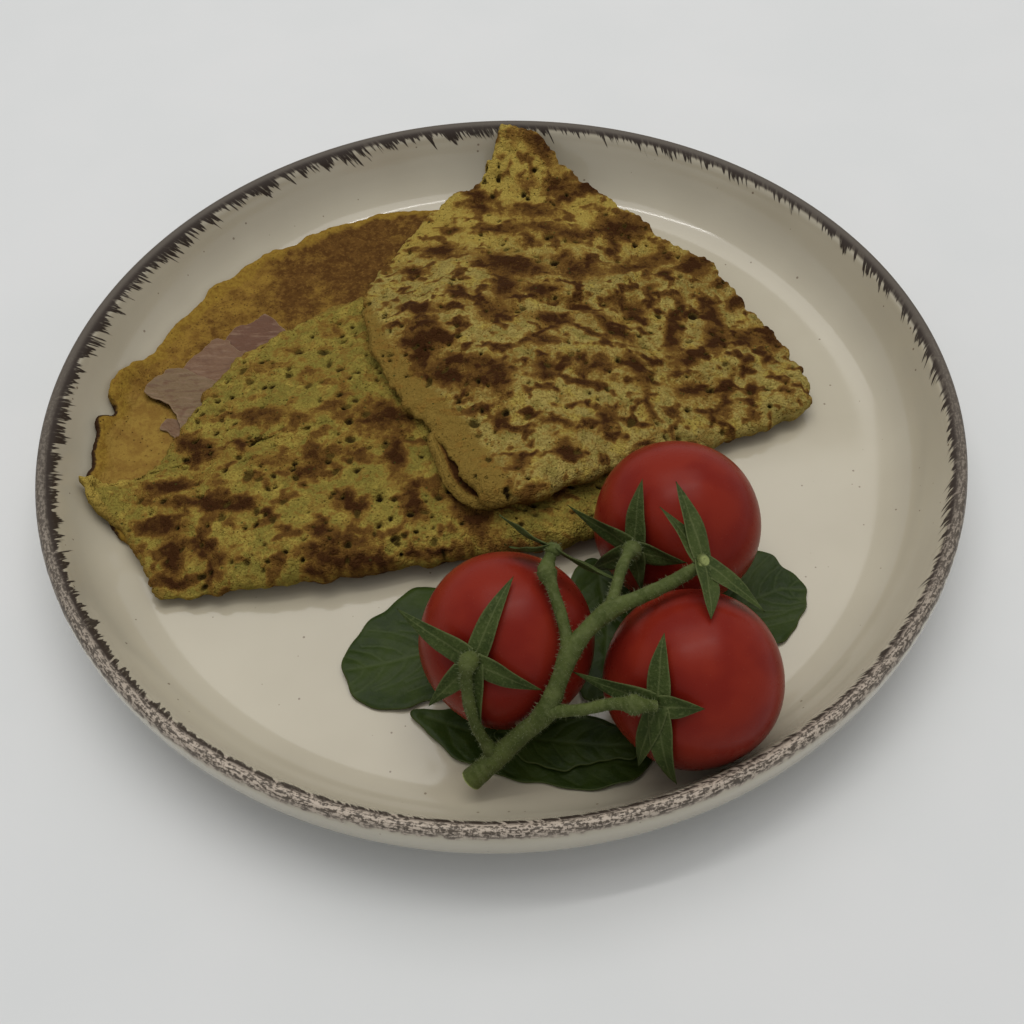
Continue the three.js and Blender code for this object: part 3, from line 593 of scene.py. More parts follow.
fried_tan, start = new_finish("fried_underside")
place = start.place()
margin = start.attribute("margin")
golden = start.attribute("golden")
flap_side = start.attribute("flap")
scorch = start.attribute("scorch")
grain = place.noise(1.3, 4, 0.6)
middling, clouds = place.noise(4.5, 3, 0.6), place.noise(14, 3)
tan = middling.between(0.38, 0.64).paint((0.078, 0.034, 0.0082), (0.118, 0.056, 0.013))
ripe = middling.between(0.38, 0.62).paint((0.175, 0.092, 0.0175), (0.255, 0.150, 0.027))
tan = (golden + (middling - 0.5) * 0.8 + (grain - 0.5) * 0.5).between(0.2, 0.8).paint(tan, ripe)
tan = (grain.between(0.46, 0.72) * 0.6).paint(tan, (0.195, 0.103, 0.025))
tan = (place.noise(0.7, 2).between(0.56, 0.7) * 0.7).paint(tan, (0.058, 0.025, 0.007))
pale = middling.between(0.38, 0.64).paint((0.285, 0.178, 0.037), (0.225, 0.128, 0.027))
pale = grain.between(0.5, 0.75).paint(pale, (0.19, 0.10, 0.024))
yellow = grain.between(0.4, 0.7).paint((0.265, 0.163, 0.026), (0.195, 0.105, 0.018))
colour = flap_side.paint(tan, pale)
colour = (margin + (middling - 0.5) * 1.3 + (grain - 0.5) * 0.4).between(0.3, 0.85).paint(colour, yellow)
colour = (scorch + (place.noise(1.6, 3) - 0.5) * 0.8).between(0.4, 0.8).paint(colour, (0.035, 0.017, 0.008))
# Painted shade: small pores, sunk by the bump, are darkened inside.
pore = (place.cells(1.9) * -1.0 + 0.16).between(0.0, 0.08) * clouds.between(0.35, 0.6)
colour = (pore * 0.8).paint(colour, (0.055, 0.026, 0.007))
finish_surface(start, {"Base Color": colour, "Roughness": grain * 0.2 + 0.5, "Specular IOR Level": 0.03,
                       "Normal": (middling * 1.2 + grain.between(0.3, 0.7) * 0.5 + place.noise(0.5, 2) * 0.3
                                  - pore * 0.5).relief(0.4)})

lower_rough = ragged(lower_outline, 5, 0.5, 3)
lower_sheet, (x, y, depth) = layer("lower_layer", lower_rough, (-40, 28), lower_middle, lower_top,
                                   lower_underside, edge_width=lambda x, y: 2, cells=240)
flap_side_of = (x + 98) * 0.55 + (y - 14) * 0.84
flap_share = smooth(1.5, -1.5, flap_side_of + 1.2 * hills(x, y, 6, 8)) * smooth(-60, -84, x)
push_out(lower_sheet, 0.35 * hills(x, y, 8, 5) + 0.2 * hills(x, y, 3, 6) + 0.1 * hills(x, y, 1.5, 7)
         + 0.45 * flap_share)
keep_values(lower_sheet.data, "margin", smooth(7.0, 0.5, depth + 2.4 * hills(x, y, 9, 9)))
keep_values(lower_sheet.data, "golden", 0.12 + 0.75 * smooth(-45, -100, x) + 0.4 * hills(x, y, 12, 10))
keep_values(lower_sheet.data, "flap", flap_share)
keep_values(lower_sheet.data, "scorch", smooth(1.6, 0.2, depth) * smooth(-104, -114, x) * smooth(24, 12, y))
lower_sheet.data.materials.append(fried_tan)
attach(lower_sheet, "root")
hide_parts("crepe_left")


# ------------------------------------------------------------------ ham
# A slice of cooked ham that peeps out between the layers, torn into four parts that overlap
# like shingles. The cut grain runs across each part. Each part is paler round its edge, partly
# drier torn meat and partly a painted highlight where the edge catches the light.

ham_outlines = {
    "deep": [(-90, 40), (-87.2, 48), (-84.4, 51.7), (-81.1, 52.3), (-77.1, 56), (-75, 55.8), (-68.2, 47.8),
             (-62, 38), (-72, 30), (-84, 33)],
    "mid": [(-100, 29), (-99, 34.6), (-94.5, 40.9), (-91.8, 45.3), (-87.1, 44.6), (-85.8, 42.7),
            (-82.6, 39.9), (-80.4, 39.4), (-72, 33), (-78, 20), (-92, 22)],
    "pale": [(-110.5, 23), (-109, 27.2), (-105.8, 29.9), (-104, 32.3), (-98.6, 31.6), (-95.1, 29),
             (-90.1, 26.9), (-80, 20), (-84, 6), (-95, 4), (-98.8, 11.4), (-101.8, 16.3), (-104.7, 18.5),
             (-107.9, 19.7)],
    "scrap": [(-104.2, 8.6), (-102.4, 12), (-98.2, 10.6), (-93, 5), (-98, 3.5), (-101.2, 6.8)],
}
ham_levels = {"deep": 0.5, "mid": 1.15, "pale": 1.8, "scrap": 0.5}
ham_tones = {"deep": 1.0, "mid": 0.5, "pale": 0.0, "scrap": 0.4}
ham_slice, ham_grain_turn = 0.9, math.radians(24)

ham_meat, start = new_finish("ham_meat")
place = start.place()
tone = start.attribute("tone")
grain_place = place.node("ShaderNodeMapping", {}, {"Vector": place, "Rotation": (0, 0, ham_grain_turn),
                                                  "Scale": (0.22, 1, 1)})
fibre = grain_place.noise(1.5, 3, 0.6)
flesh = tone.node("ShaderNodeValToRGB", {"stops": [
    (0.0, (0.172, 0.114, 0.061)), (0.5, (0.17, 0.096, 0.056)), (1.0, (0.128, 0.062, 0.037))]}, {"Fac": tone})
flesh = (fibre.between(0.5, 0.7) * 0.6).paint(flesh, (0.235, 0.15, 0.095))
flesh = (fibre.between(0.46, 0.34) * 0.6).paint(flesh, (0.115, 0.058, 0.035))
flesh = (place.noise(4, 2).between(0.55, 0.75) * 0.8).paint(flesh, (0.125, 0.062, 0.036))
# Paler edge: partly dry torn meat, partly a painted highlight along the edge.
flesh = (start.attribute("torn").between(0.5, 1.0) * 0.7).paint(flesh, (0.27, 0.185, 0.115))
finish_surface(start, {"Base Color": flesh, "Roughness": 0.4, "Specular IOR Level": 0.13,
                       "Normal": (fibre.between(0.3, 0.7) * 0.8 + place.noise(0.8, 2) * 0.4).relief(0.3)})

for name, points in ham_outlines.items():
    level = ham_levels[name]
    outline = ragged(outline_through(points), 2.4, 0.3, 11)
    centre = np.mean(points, axis=0)

    def ham_height(x, y, d, side):
        middle = lower_top(x, y) + level + 0.25 * hills(x, y, 7, 13) + ham_slice / 2
        return middle + side * ham_slice / 2 * rounded(d, 0.6)

    part, (x, y, depth) = flat_food(
        "ham_" + name, outline, centre,
        lambda x, y, d: ham_height(x, y, d, 1), lambda x, y, d: ham_height(x, y, d, -1), cells=90)
    across = x * np.cos(ham_grain_turn) - y * np.sin(ham_grain_turn)
    push_out(part, 0.09 * hills(across / 3, (x + y) * 1.5, 1.5, 17) * smooth(0, 1, depth))
    keep_values(part.data, "tone", np.full(len(x), ham_tones[name]))
    keep_values(part.data, "torn", smooth(0.9, 0.1, depth))
    part.data.materials.append(ham_meat)
    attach(part, "root")
    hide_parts("ham")


# ------------------------------------------------------------------ left pancake, folded layer
# The same pancake's other half, folded over ham and lower layer, with its griddled side up:
# yellow-olive batter with red-brown griddle marks, deep round steam holes and chopped greens.

left_raw_height, left_mid_height, left_rise, left_fold_width = 5.6, 12.2, 34, 9
left_fold_line = [(36, -33), (17, -42.4), (-17, -46.4), (-57, -51.4), (-86, -53.4)]
left_open_line = [
    (-96, -53), (-101, -44), (-107, -34), (-121, -19), (-116, -14), (-104, -9), (-98, 4), (-91, 21),
    (-80, 36), (-64, 49), (-44, 62), (-12, 69), (26, 52), (43, 12), (44, -18)]
folded_outline = outline_through(left_fold_line + left_open_line, 0.35, 29)

# Griddle marks: place, half length, half width, turn in degrees, how dark.
left_marks = [
    (-65, 35, 4, 2.6, 7, 0.35), (-75, 27, 5, 3.2, 13, 0.4), (-56, 21, 4, 3.3, 178, 0.35),
    (-71, 6, 10.5, 2.9, 164, 0.65), (-51, 7, 6.4, 2, 45, 0.55), (-94, 0, 5.7, 2.7, 146, 0.7),
    (-88, -6, 7.5, 2.9, 150, 0.75), (-77, -5, 3, 2.1, 131, 0.9), (-66, -13, 4.3, 2.6, 14, 0.6),
    (-55, -16, 5.7, 2.9, 24, 0.75), (-49, -10, 9.2, 2.4, 0, 0.55), (-38, 1, 7.5, 4.9, 144, 0.6),
    (-30, -12, 7.9, 2.4, 92, 0.85), (-32, 4, 5.4, 3.4, 144, 0.75), (-97, -17, 7.7, 2.5, 1, 0.95),
    (-85, -26, 13, 1.8, 166, 0.9), (-75, -28, 3.4, 2, 166, 0.8), (-97, -31, 6.5, 2.8, 173, 0.85),
    (-76, -34, 2.8, 1.5, 166, 0.6), (-92, -42, 5.2, 3, 105, 1), (-85, -39, 5.5, 2, 161, 0.8),
    (-81, -48, 4.2, 1.6, 95, 0.9), (-78, -46, 3.1, 1.9, 104, 0.7), (-91, -50, 4.7, 1.5, 168, 0.9),
    (-81, -20, 3.3, 1.8, 158, 0.5), (-66, -32, 1.8, 1.3, 159, 0.7), (-43, -29, 4.1, 3.1, 145, 0.9),
    (-25, -30, 7.2, 2.4, 102, 0.85), (-51, -39, 3.1, 2.8, 133, 0.9), (-46, -47, 11, 2.2, 173, 0.85),
    (-37, -48, 4.6, 0.9, 2, 0.95), (-52, -50, 2.9, 0.9, 1, 0.8), (-42, -42, 5.7, 2.4, 162, 0.8),
    (-8, -37, 6.1, 3.4, 141, 0.9), (-17, -45, 4.8, 1.1, 9, 0.9), (-25, -45, 2.7, 1.4, 7, 0.8),
    (-52, 44, 4, 2.2, 145, 0.45), (-13, -28, 4.7, 2.3, 175, 0.5), (-59, -38, 1.9, 1.3, 165, 0.5),
    (-73, -26, 2.6, 1.3, 168, 0.6)]
# Steam holes: place and radius.
left_holes = [
    (-77.3, 22.4, 1.3), (-54.6, 32.2, 1.7), (-69.4, 17.8, 1), (-57.9, 16.8, 1.2), (-48.5, 22.6, 1.1),
    (-81.8, 15.5, 0.8), (-83.8, 6.6, 0.8), (-71.3, -3.1, 1.3), (-45.6, 7.2, 1.1), (-43.2, 9.3, 0.9),
    (-93.4, -7.4, 1.1), (-72.6, -18.1, 1.6), (-65.4, -18.4, 0.8), (-59.7, -13.3, 0.9), (-59.2, -18.9, 1),
    (-79.9, -15, 0.7), (-47.8, -17.1, 1), (-44, -5.7, 1.3), (-33.7, -7.5, 0.8), (-40.8, -33, 1.2),
    (-34.6, -37.5, 0.8), (-21.7, -33.5, 1), (-27.6, -41, 0.8), (-59.9, -45.3, 0.7), (-65.8, -50, 0.6),
    (-42.6, -43.8, 0.9), (-28.2, -45.9, 0.5), (-71, -47.1, 0.8), (-69.1, -35.1, 0.8), (-61.7, -27.8, 1),
    (-18, -28.4, 0.9), (-47.8, -25.6, 0.7), (-53.7, 9.3, 0.7)]


def left_top(x, y):
    over_ham = 2.7 * swell(x, y, (-80, 30), 34)
    rise = smooth(0, left_rise, path_distance(x, y, left_open_line))
    full = blend(left_raw_height + over_ham, left_mid_height, rise)
    pinch = 3.2 * swell(x, y, (-104, -22), 13) * rise
    waves = 0.55 * np.sin(x / 11) * np.sin(y / 8 + 0.5) + 0.3 * np.sin(x / 5 + y / 6)
    return plate_top(x, y) + gap + (full - pinch + waves * rise) * blend(1, wall_stretch(x, y), 0.7)


def left_near_fold(x, y):
    return smooth(16, 5, path_distance(x, y, left_fold_line))


def left_underside(x, y):
    return plate_top(x, y) + gap + 0.8


def left_middle(x, y):
    low = plate_top(x, y) + gap
    return blend(low + left_raw_height * 0.65, blend(low, left_top(x, y), 0.5), left_near_fold(x, y))


def left_edge_width(x, y):
    return blend(2.4, left_fold_width, left_near_fold(x, y))


def browning(x, y, marks, seed):
    """How brown the griddle made each place, from its marks, with uneven edges."""
    u = x + 1.5 * hills(x, y, 5, seed) + 0.7 * hills(x, y, 2.2, seed + 1)
    v = y + 1.5 * hills(x, y, 5, seed + 2) + 0.7 * hills(x, y, 2.2, seed + 3)
    plain = np.ones(np.shape(x))
    for mx, my, long, wide, turn, dark in marks:
        c, s = math.cos(math.radians(turn)), math.sin(math.radians(turn))
        q = (((u - mx) * c + (v - my) * s) / long)**2 + (((v - my) * c - (u - mx) * s) / wide)**2
        plain *= 1 - dark * np.exp(-0.75 * q)
    return 1 - plain


def griddle_spots(x, y, size, seed):
    """Small blotches from 0 to 1 where the batter's blisters touched the griddle."""
    u = x + 1.2 * hills(x, y, size, seed)
    blotch = hills(u / 1.35, y, size, seed + 1) + 0.45 * hills(u, y, size / 2.3, seed + 2)
    return smooth(0.0, 0.62, blotch)


def steam_holes(x, y, holes, seed):
    """How deep each place is in a hole, and in the dimple round it, both from 0 to 1."""
    deep, dimple = np.zeros(np.shape(x)), np.zeros(np.shape(x))
    warped_x = x + 0.3 * hills(x, y, 1.5, seed)
    warped_y = y + 0.3 * hills(x, y, 1.5, seed + 1)
    for number, (hx, hy, radius) in enumerate(holes):
        close = np.flatnonzero((np.abs(x - hx) < 4 * radius) & (np.abs(y - hy) < 4 * radius))
        dx, dy = warped_x[close] - hx, warped_y[close] - hy
        c, s = math.cos(2.4 * number), math.sin(2.4 * number)
        long = radius * (1 + 0.6 * (0.618 * number % 1))
        q = ((dx * c + dy * s) / long)**2 + ((dy * c - dx * s) / radius)**2
        share = 0.45 + 0.55 * (0.382 * number % 1)
        deep[close] = np.maximum(deep[close], share * smooth(1.5, 0.2, q))
        dimple[close] = np.maximum(dimple[close], np.exp(-q / 3.5))
    return deep, dimple


def scattered(outline, count, low, high, seed):
    """Places at random inside an outline, each with a radius."""
    chance = np.random.default_rng(seed)
    corner, far = outline.min(0), outline.max(0)
    spots = chance.uniform(corner, far, (count * 3, 2))
    spots = spots[inside(spots[:, 0], spots[:, 1], outline)][:count]
    sizes = low + (high - low) * chance.random(len(spots))**2
    return np.column_stack([spots, sizes])


def batter_finish(name, olive, yellow_olive, charred):
    """Griddled batter: mottled olive, browned where the attribute says (on the flap, painted shade) and
    charred from a given brownness on, with holes and herbs. Its lumps get a painted highlight, and its
    hollows, pores and holes painted shade; on the wedge the crumb colour is painted light towards the tip."""
    material, start = new_finish(name)
    place = start.place()
    brown = start.attribute("brown")
    hole = start.attribute("hole")
    band = start.attribute("band")
    crumb = start.attribute("crumb")
    clouds, middling = place.noise(11, 3), place.noise(5, 3, 0.6)
    fine, grain = place.noise(2.2, 3, 0.6), place.noise(0.8, 3, 0.6)
    base = clouds.between(0.36, 0.64).paint(olive, yellow_olive)
    # Painted highlight: a paler yellow on the lump tops, where the bumps further down raise the surface.
    base = (middling.between(0.5, 0.64) * 0.8).paint(base, (0.41, 0.305, 0.062))
    # Painted shade: a darker, greener colour in the hollows between the lumps.
    base = ((middling * -1.0 + fine * 0.5).between(-0.24, -0.1) * 0.5).paint(base, (0.19, 0.162, 0.033))
    base = (place.noise(3.2, 3, 0.6).between(0.5, 0.66) * 0.6).paint(base, (0.27, 0.15, 0.032))
    base = (grain.between(0.5, 0.68) * 0.75).paint(base, (0.165, 0.11, 0.022))
    base = (band + (fine - 0.5) * 0.5).between(0.25, 0.75).paint(base, (0.245, 0.158, 0.034))
    # Pale yellow crumbs; on the wedge the same colour is painted light towards its tip.
    base = (crumb + (fine - 0.5) * 0.4).between(0.3, 0.7).paint(base, (0.43, 0.31, 0.065))
    mask = brown + (fine - 0.5) * 0.6 + (grain - 0.5) * 0.4 + (middling - 0.5) * 0.3
    base = (mask.between(0.02, 0.34) * 0.8).paint(base, (0.25, 0.135, 0.027))
    base = (mask.between(0.24, 0.52) * 0.92).paint(base, (0.14, 0.067, 0.0155))
    base = (mask.between(charred, charred + 0.4) * 0.93).paint(base, (0.046, 0.0165, 0.0055))
    herb = (place.cells(3.4) * -1.0 + 0.14).between(0, 0.07) * place.noise(7, 1).between(0.42, 0.56)
    base = (herb * 0.8).paint(base, (0.05, 0.055, 0.012))
    # Painted shade: the tiny pores, sunk by the bump, are darkened inside.
    pore = (place.cells(1.5) * -1.0 + 0.2).between(0, 0.1) * place.noise(6, 2).between(0.38, 0.58)
    base = (pore * 0.75).paint(base, (0.062, 0.038, 0.008))
    # Painted shade: each steam hole is darkened, lightly round its rim and deeply in its middle.
    base = (hole.between(0.1, 0.5) * 0.8).paint(base, (0.085, 0.058, 0.0125))
    base = (hole.between(0.4, 0.85) * 0.95).paint(base, (0.017, 0.009, 0.003))
    bumps = middling * 1.4 + fine.between(0.25, 0.75) * 0.9 + grain.between(0.3, 0.7) * 0.45 \
        + place.noise(0.4, 2) * 0.25 - pore * 0.6
    finish_surface(start, {"Base Color": base, "Roughness": 0.66 - mask.between(0.2, 0.9) * 0.1,
                           "Specular IOR Level": 0.03, "Normal": bumps.relief(0.8)})
    return material


left_batter = batter_finish("left_batter", (0.255, 0.205, 0.041), (0.325, 0.25, 0.05), 0.46)
left_rough = ragged(folded_outline, 4, 0.45, 21)
folded_half, (x, y, depth) = layer("folded_layer", left_rough, (-42, 2), left_middle, left_top,
                                   left_underside, left_edge_width, cells=288)
spots = griddle_spots(x, y, 5.2, 35) * blend(0.85, 0.45, smooth(-20, 25, y)) * smooth(-112, -100, x)
brown = 1 - (1 - browning(x, y, left_marks, 31)) * (1 - 0.62 * spots)
holes = np.vstack([left_holes, scattered(folded_outline, 300, 0.5, 1.1, 41)])
hole, dimple = steam_holes(x, y, holes, 43)
crumb = swell(x, y, (-114, -17), 9) * smooth(5, 1, depth)
raw = smooth(3, 0.5, path_distance(x, y, left_open_line))
push_out(folded_half, 0.65 * hills(x, y, 9, 51) + 0.52 * hills(x, y, 4, 52) + 0.26 * hills(x, y, 1.9, 53)
         + 0.22 * brown - 1.3 * hole - 0.35 * dimple + 0.3 * raw * hills(x * 1.3, y * 1.3, 1.7, 54)
         + 1.1 * crumb * hills(x, y, 2.2, 55))
keep_values(folded_half.data, "brown", brown)
keep_values(folded_half.data, "hole", hole)
keep_values(folded_half.data, "band", 0.6 * smooth(3.2, 0.8, path_distance(x, y, left_open_line)))
keep_values(folded_half.data, "crumb", np.clip(crumb, 0, 1))
folded_half.data.materials.append(left_batter)
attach(folded_half, "root")
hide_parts("crepe_left")


# ------------------------------------------------------------------ right pancake
# A second pancake folded into a wedge and laid over the first, its tip up on the plate's wall.
# It sags over what it lies on; its open left side shows a slit and the lowest layer as a flap.

right_edge_thickness, right_mid_thickness, right_tip_thickness = 4.3, 8.6, 2.8
right_rise, right_fold_width, rest_gap = 30, 6.5, 1
right_fold_line = [(94, 6), (86.6, 1), (72, -4.5), (40.5, -17.3), (16.5, -31.6), (1, -36.5)]
right_open_line = [
    (-6, -34.5), (-12.5, -22), (-20, -8), (-29, 5), (-38, 25), (-42.5, 56), (-32, 83), (-18, 102.5),
    (-5, 110), (0, 118.5), (4, 126.4), (10, 126.2), (15.5, 125), (21, 119.5), (28, 111), (49, 92.5),
    (59, 80.5), (72, 70), (80.5, 53), (92, 30), (95.5, 13)]
right_outline = outline_through(right_fold_line + right_open_line, 0.4, 31)

# Long soft creases and short sharp wrinkles: line, height and width.
right_creases = [([(0, 50), (30, 52), (62, 62)], 1.5, 6), ([(16, 44), (44, 46)], -1.2, 4),
                 ([(20, 20), (58, 24), (88, 26)], 1.1, 5)]
right_wrinkles = [
    ([(49.4, 64.3), (40.5, 56.3), (30.3, 49.8), (22.1, 47.1), (12.4, 45.4)], 0.9, 1.6),
    ([(41.3, 11.5), (53.8, 14.9), (64.9, 18.5), (79.3, 22.8)], 0.9, 1.8),
    ([(30.5, 8.8), (36.6, 9.7), (43.7, 5.3)], -0.7, 1.2),
    ([(-5.2, 41.8), (12.3, 41.7), (23.2, 38.9), (32.4, 35.3)], 0.8, 1.5),
    ([(5.3, 24.6), (11.7, 13.9)], -1.0, 0.9), ([(23.1, 94.6), (36.8, 92.8), (49.4, 81.7)], 0.7, 1.6),
    ([(-10.7, 85.2), (2.1, 80.4), (15.3, 73.7), (28.5, 71.4)], 0.6, 1.5),
    ([(28.9, 29.8), (39.6, 27.1), (52.2, 28.5)], -0.6, 1.4)]

right_marks = [
    (17, 120, 9.2, 2.9, 133, 0.75), (7, 123, 2.9, 2, 166, 0.45), (12, 108, 3.7, 2.5, 18, 0.5),
    (24, 106, 5.3, 2.7, 178, 0.8), (25, 101, 4.2, 1.7, 20, 0.9), (34, 105, 4.4, 2.9, 133, 0.9),
    (-5, 105, 5.7, 1.8, 157, 0.85), (-5, 99, 5.1, 2.5, 161, 0.9), (1, 85, 5.3, 2.8, 166, 0.9),
    (-15, 88, 3.7, 2.6, 147, 0.7), (-18, 76, 5.8, 4.3, 158, 1), (14, 95, 9.5, 3.6, 168, 0.7),
    (17, 84, 8.2, 3.3, 163, 0.75), (29, 81, 6, 3.8, 21, 0.75), (40, 87, 3.9, 3.8, 113, 0.8),
    (47, 86, 6.9, 4.5, 8, 0.9), (40, 78, 6.8, 2, 83, 0.8), (2, 65, 8.3, 5.5, 150, 0.9),
    (10, 62, 5.6, 5.2, 166, 0.75), (22, 69, 3.1, 2.6, 7, 0.75), (-27, 65, 4.7, 2.4, 152, 0.9),
    (-12, 46, 3.5, 2.7, 95, 1), (3, 50, 6.3, 3.6, 87, 0.95), (14, 48, 4.4, 3.2, 4, 1),
    (27, 62, 6.8, 5.4, 26, 0.8), (46, 66, 10.1, 3.3, 36, 0.8), (57, 73, 4.5, 3.5, 154, 0.6),
    (67, 68, 4.5, 3.8, 58, 0.95), (56, 62, 3, 2.5, 30, 0.8), (74, 60, 3, 2.6, 118, 0.8),
    (-24, 40, 6.9, 2.4, 157, 0.95), (-22, 32, 5.9, 2, 162, 0.85), (-24, 25, 5.9, 3.9, 160, 1),
    (-18, 26, 5.2, 2, 150, 0.85), (-1, 37, 5.4, 4.6, 166, 0.75), (18, 34, 5.8, 2.5, 6, 1),
    (27, 42, 4.9, 2.2, 156, 1), (39, 47, 3.2, 2.4, 29, 0.8), (44, 43, 4.5, 3.5, 82, 0.9),
    (37, 32, 6.4, 3.3, 138, 1), (50, 53, 4.2, 2, 85, 0.75), (58, 45, 8.1, 1.9, 75, 0.95),
    (69, 46, 9.3, 2.6, 100, 0.95), (78, 51, 3.3, 2.5, 63, 0.85), (55, 33, 6.9, 2.5, 82, 1),
    (68, 31, 5.4, 3.1, 74, 1), (58, 22, 4.7, 2.7, 35, 1), (48, 19, 2.4, 1.2, 76, 0.9),
    (42, 15, 5.3, 3.1, 105, 1), (-11, 16, 6.9, 1.6, 163, 0.9), (-14, 11, 8.6, 3.5, 154, 1),
    (0, 8, 6.1, 4.1, 95, 0.9), (14, 12, 4.1, 3.5, 66, 0.9), (14, 24, 5.1, 2.8, 9, 0.8),
    (14, 7, 3.4, 1.6, 10, 0.8), (25, 17, 2.3, 1.5, 69, 0.85), (31, 15, 4.5, 3.3, 75, 0.85),
    (25, 10, 5.1, 1.4, 85, 0.8), (16, -10, 5.7, 1.5, 169, 0.85), (31, -7, 5.1, 2.6, 72, 0.85),
    (59, 10, 5.8, 3.6, 8, 0.75), (68, 6, 8, 2, 78, 0.85), (77, 11, 4.4, 1.4, 80, 0.85),
    (84, 24, 2.9, 1.9, 67, 1), (76, 1, 2.3, 1.9, 24, 0.85), (87, 9, 2.4, 1.9, 60, 0.75),
    (78, 34, 4.2, 4, 118, 0.85), (87, 34, 5, 4, 132, 0.85), (44, 1, 5.7, 1.3, 87, 0.85),
    (41, -14, 3.3, 1.1, 30, 0.9), (37, -18, 1.6, 0.8, 28, 0.9), (28, -22, 1.9, 0.9, 60, 0.9),
    (18, -20, 3.5, 2.8, 42, 0.8), (5, -25, 4.6, 2.2, 89, 0.7), (0, -8, 4.4, 1.9, 90, 0.85),
    (8, -34, 3.3, 1.3, 4, 0.7), (75, 20, 2.2, 1.5, 17, 0.7), (51, -6, 5.9, 0.9, 77, 0.7),
    (-10, 1, 3, 1.2, 167, 0.6), (-3, 12, 3, 1.4, 168, 0.7), (12, 77, 4, 2, 175, 0.6),
    (36, 95, 3.5, 1.8, 159, 0.5)]
right_holes = [
    (-11.4, -1.4, 1), (-7.4, -7.1, 1.3), (-5, -3.1, 0.7), (-20.8, 9.7, 0.9), (-11.5, 25.3, 1),
    (19.9, 65.9, 1.4), (8.6, 38, 1.1), (63.1, 43.8, 1.7), (60.4, 31.4, 1.1), (51.7, 43.1, 1),
    (46.3, 27.7, 1.3), (38.3, -6.7, 1.3), (64, 10.5, 1.1), (1.4, -33.9, 0.8), (-3.5, -21.8, 1),
    (1.7, -5, 1.1), (4.2, 74.4, 1), (81.3, 10.6, 0.8), (7.4, -30.5, 0.7)]

# The pancake sags like a net of heights over plate and neighbour, pulled down by its weight.
net_x, net_y, net_step, net_columns, net_rows = -60, -60, 3.0, 60, 68
net_load, net_rounds, net_finer, net_softening = 0.055, 500, 4, 14
grid_y, grid_x = np.meshgrid(net_y + net_step * np.arange(net_rows),
                             net_x + net_step * np.arange(net_columns), indexing="ij")
under = np.where(inside(grid_x, grid_y, lower_outline), lower_top(grid_x, grid_y), plate_top(grid_x, grid_y))
fold_depth = path_distance(grid_x, grid_y, ring(folded_outline))
folded_surface = blend(left_middle(grid_x, grid_y), left_top(grid_x, grid_y),
                       rounded(fold_depth, left_edge_width(grid_x, grid_y)))
under = np.where(inside(grid_x, grid_y, folded_outline), np.maximum(under, folded_surface), under) + rest_gap
net = under.copy()
alternate = (np.add.outer(np.arange(net_rows), np.arange(net_columns)) % 2)[1:-1, 1:-1]
for _ in range(net_rounds):
    for half in (0, 1):
        mean = (net[1:-1, :-2] + net[1:-1, 2:] + net[:-2, 1:-1] + net[2:, 1:-1]) / 4 - net_load
        held = np.maximum(under[1:-1, 1:-1], mean)
        net[1:-1, 1:-1] = np.where(alternate == half, held, net[1:-1, 1:-1])

fine_x = np.arange((net_columns - 1) * net_finer + 1) / net_finer
fine_y = np.arange((net_rows - 1) * net_finer + 1) / net_finer
net_fine = np.array([np.interp(fine_x, np.arange(net_columns), row) for row in net])
net_fine = np.array([np.interp(fine_y, np.arange(net_rows), column) for column in net_fine.T]).T
for _ in range(net_softening):
    padded = np.pad(net_fine, 1, mode="edge")
    net_fine = (padded[:-2, 1:-1] + padded[2:, 1:-1] + padded[1:-1, :-2] + padded[1:-1, 2:]
                + 2 * net_fine) / 6


def right_bottom(x, y):
    u = np.clip((x - net_x) / net_step * net_finer, 0, net_fine.shape[1] - 1.001)
    v = np.clip((y - net_y) / net_step * net_finer, 0, net_fine.shape[0] - 1.001)
    i, j = np.floor(u).astype(int), np.floor(v).astype(int)
    near = blend(net_fine[j, i], net_fine[j, i + 1], u - i)
    far = blend(net_fine[j + 1, i], net_fine[j + 1, i + 1], u - i)
    return blend(near, far, v - j)


def net_stretch(x, y):
    slope_x = (right_bottom(x + 3, y) - right_bottom(x - 3, y)) / 6
    slope_y = (right_bottom(x, y + 3) - right_bottom(x, y - 3)) / 6
    return np.sqrt(1 + slope_x**2 + slope_y**2)


def right_top(x, y):
    from_open = path_distance(x, y, right_open_line)
    from_fold = path_distance(x, y, right_fold_line)
    edge = blend(right_edge_thickness, right_mid_thickness, smooth(22, 6, from_fold))
    body = blend(edge, right_mid_thickness, smooth(0, right_rise, from_open))
    thickness = blend(body, right_tip_thickness, smooth(84, 112, y))
    relief = 0.4 * np.sin(x / 8 + 2) * np.sin(y / 7)
    for line, height, width in right_creases:
        relief = relief + height * np.exp(-(path_distance(x, y, line) / width)**2)
    calm = smooth(0, 12, np.minimum(from_open, from_fold)) * smooth(112, 90, y)
    return right_bottom(x, y) + (thickness + relief * calm) * net_stretch(x, y)


def right_near_fold(x, y):
    return smooth(16, 5, path_distance(x, y, right_fold_line))


flap_outline = outline_through([(-1, -34.5), (-8.5, -34.5), (-15, -28.5), (-18.5, -20), (-21, -9), (-15, -8),
                                (-8, -18), (-2, -27)])
slit_outline = outline_through([(-6, -35), (-13, -33), (-19, -24), (-21, -15), (-12, -17), (-7, -26)])


def slit_lift(x, y):
    """How far the upper layers stand off the lowest one, along the open side."""
    within = inside(x, y, slit_outline)
    return 2.7 * np.where(within, smooth(0, 2.2, path_distance(x, y, ring(slit_outline))), 0)


def right_low(x, y):
    return right_bottom(x, y) + slit_lift(x, y)


def right_middle(x, y):
    return blend(right_low(x, y), right_top(x, y), blend(0.55, 0.5, right_near_fold(x, y)))


def right_edge_width(x, y):
    return blend(2.6, right_fold_width, right_near_fold(x, y))


